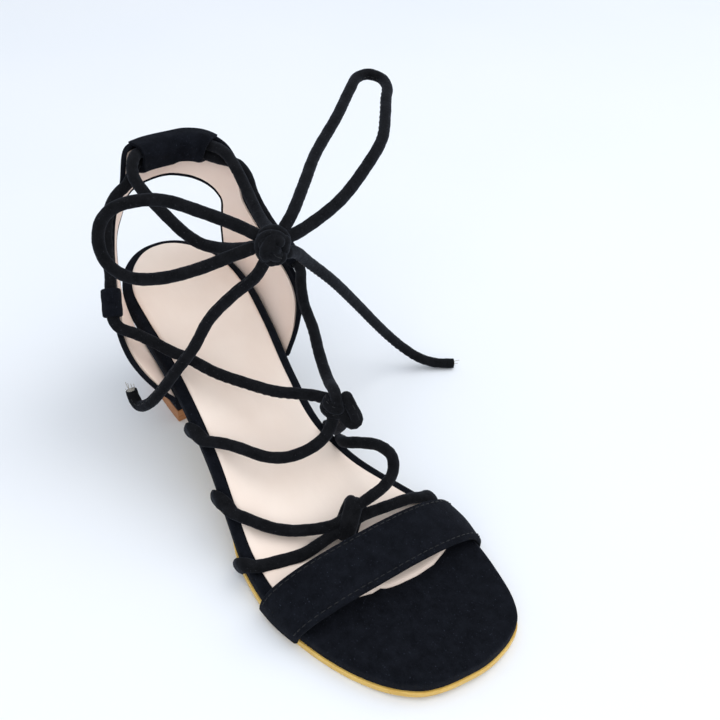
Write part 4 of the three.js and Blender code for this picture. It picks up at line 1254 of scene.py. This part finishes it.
tunnel_rings = np.array([[tunnel_point(t, n, u * hem_rise(t) if u < 0 else u) for n, u in tunnel_section]
                         for t in tunnel_shares])
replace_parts(loft("tunnel_fold", tunnel_rings, BLACK_SUEDE), "cord_tunnel")
hem_face = wall_face + GAP + TUNNEL_WALL
hem, hem_raised = (np.array([tunnel_point(t, hem_face + out, up - TUNNEL_HEIGHT)
                             for t in np.linspace(TUNNEL_START + 0.004, TUNNEL_END - 0.004, 160)])
                   for out, up in ((0.55, 1.2), (1.55, 0.6)))
stitches("tunnel_stitches", [sewn_line(hem, hem_raised)], BLACK_THREAD, 3.0, 2.0, 0.22)

# Keepers: suede sleeves round the edge cord
KEEPERS = [("keeper_lateral", (14.3, -42.4, 77.1), (-0.61, 0.31, 0.73)),
           ("keeper_medial", (29.1, 38.5, 80.4), (0.92, 0.01, -0.4))]
KEEPER_LENGTH = 12.0
KEEPER_WALL = 1.2
KEEPER_SIDES = 28
keeper_bore = CORD_RADIUS + GAP


def keeper(name, centre, axis):
    """A folded sleeve, slightly square, with rolled ends."""
    axis = unit(axis)
    across = unit(np.cross(axis, (0, 0, 1)))
    other = np.cross(axis, across)
    half = KEEPER_LENGTH / 2
    outer = keeper_bore + KEEPER_WALL
    quarter = [(keeper_bore, half - 0.5), (keeper_bore + 0.5, half), (outer - 0.5, half), (outer, half - 0.5),
               (outer + 0.15, half * 0.5)]
    profile = [(radius, -along) for radius, along in quarter] + [(outer, 0)] + quarter[::-1]
    square = [[1 + 0.05 * math.cos(8 * math.pi * k / KEEPER_SIDES)] for k in range(KEEPER_SIDES)]
    rings = [np.array(centre, float) + axis * along
             + np.array(circle(0, across, other, radius, KEEPER_SIDES)) * square for radius, along in profile]
    points = np.vstack(rings)
    faces = loft_faces(len(profile), KEEPER_SIDES, capped=False)
    last = (len(profile) - 1) * KEEPER_SIDES
    for k in range(KEEPER_SIDES):
        j = (k + 1) % KEEPER_SIDES
        faces.append((last + k, last + j, j, k))
    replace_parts(make_piece(name + "_sleeve", points, faces, BLACK_SUEDE, 50), name)


for keeper_row in KEEPERS:
    keeper(*keeper_row)


# Floor and light, in metres
FLOOR_REACH = 4.0
SHOE_MIDDLE = (0.06, 0, 0.03)
# Name, place, target, size, power and colour
LIGHTS = [("window_light", (0.6, 1.1, 1.5), SHOE_MIDDLE, 1.9, 13.5, (1, 0.985, 0.96)),
          ("top_light", (0.0, -0.1, 1.7), SHOE_MIDDLE, 2.0, 7, (0.97, 0.985, 1)),
          ("fill_light", (1.0, -0.6, 1.0), (0.0, 0, 0.08), 1.6, 8, (1, 0.98, 0.95))]


def floor():
    mesh = bpy.data.meshes.new("floor")
    corners = [(FLOOR_REACH * x, FLOOR_REACH * y, 0) for x, y in ((-1, -1), (1, -1), (1, 1), (-1, 1))]
    mesh.from_pydata(corners, [], [(0, 1, 2, 3)])
    nodes = Nodes("paper_floor")
    nodes.colour(nodes.ramp(nodes.noise(3, 2), [(0.3, (0.80, 0.84, 0.90, 1)), (0.7, (0.83, 0.86, 0.91, 1))]))
    nodes.set(Roughness=0.7, Specular_IOR_Level=0.2)
    mesh.materials.append(nodes.material)
    obj = bpy.data.objects.new("floor", mesh)
    bpy.context.scene.collection.objects.link(obj)


def area_light(name, place, target, size, power, colour):
    data = bpy.data.lights.new(name, "AREA")
    data.shape = "DISK"
    data.size = size
    data.energy = power
    data.color = colour
    obj = bpy.data.objects.new(name, data)
    obj.location = place
    obj.rotation_euler = (Vector(place) - Vector(target)).to_track_quat("Z", "Y").to_euler()
    bpy.context.scene.collection.objects.link(obj)


floor()
for light in LIGHTS:
    area_light(*light)
world = bpy.data.worlds.new("studio")
world.use_nodes = True
sky = world.node_tree.nodes["Background"].inputs
sky["Color"].default_value = (0.90, 0.945, 1.0, 1)
sky["Strength"].default_value = 0.67
bpy.context.scene.world = world
bpy.context.scene.view_settings.view_transform = "Standard"
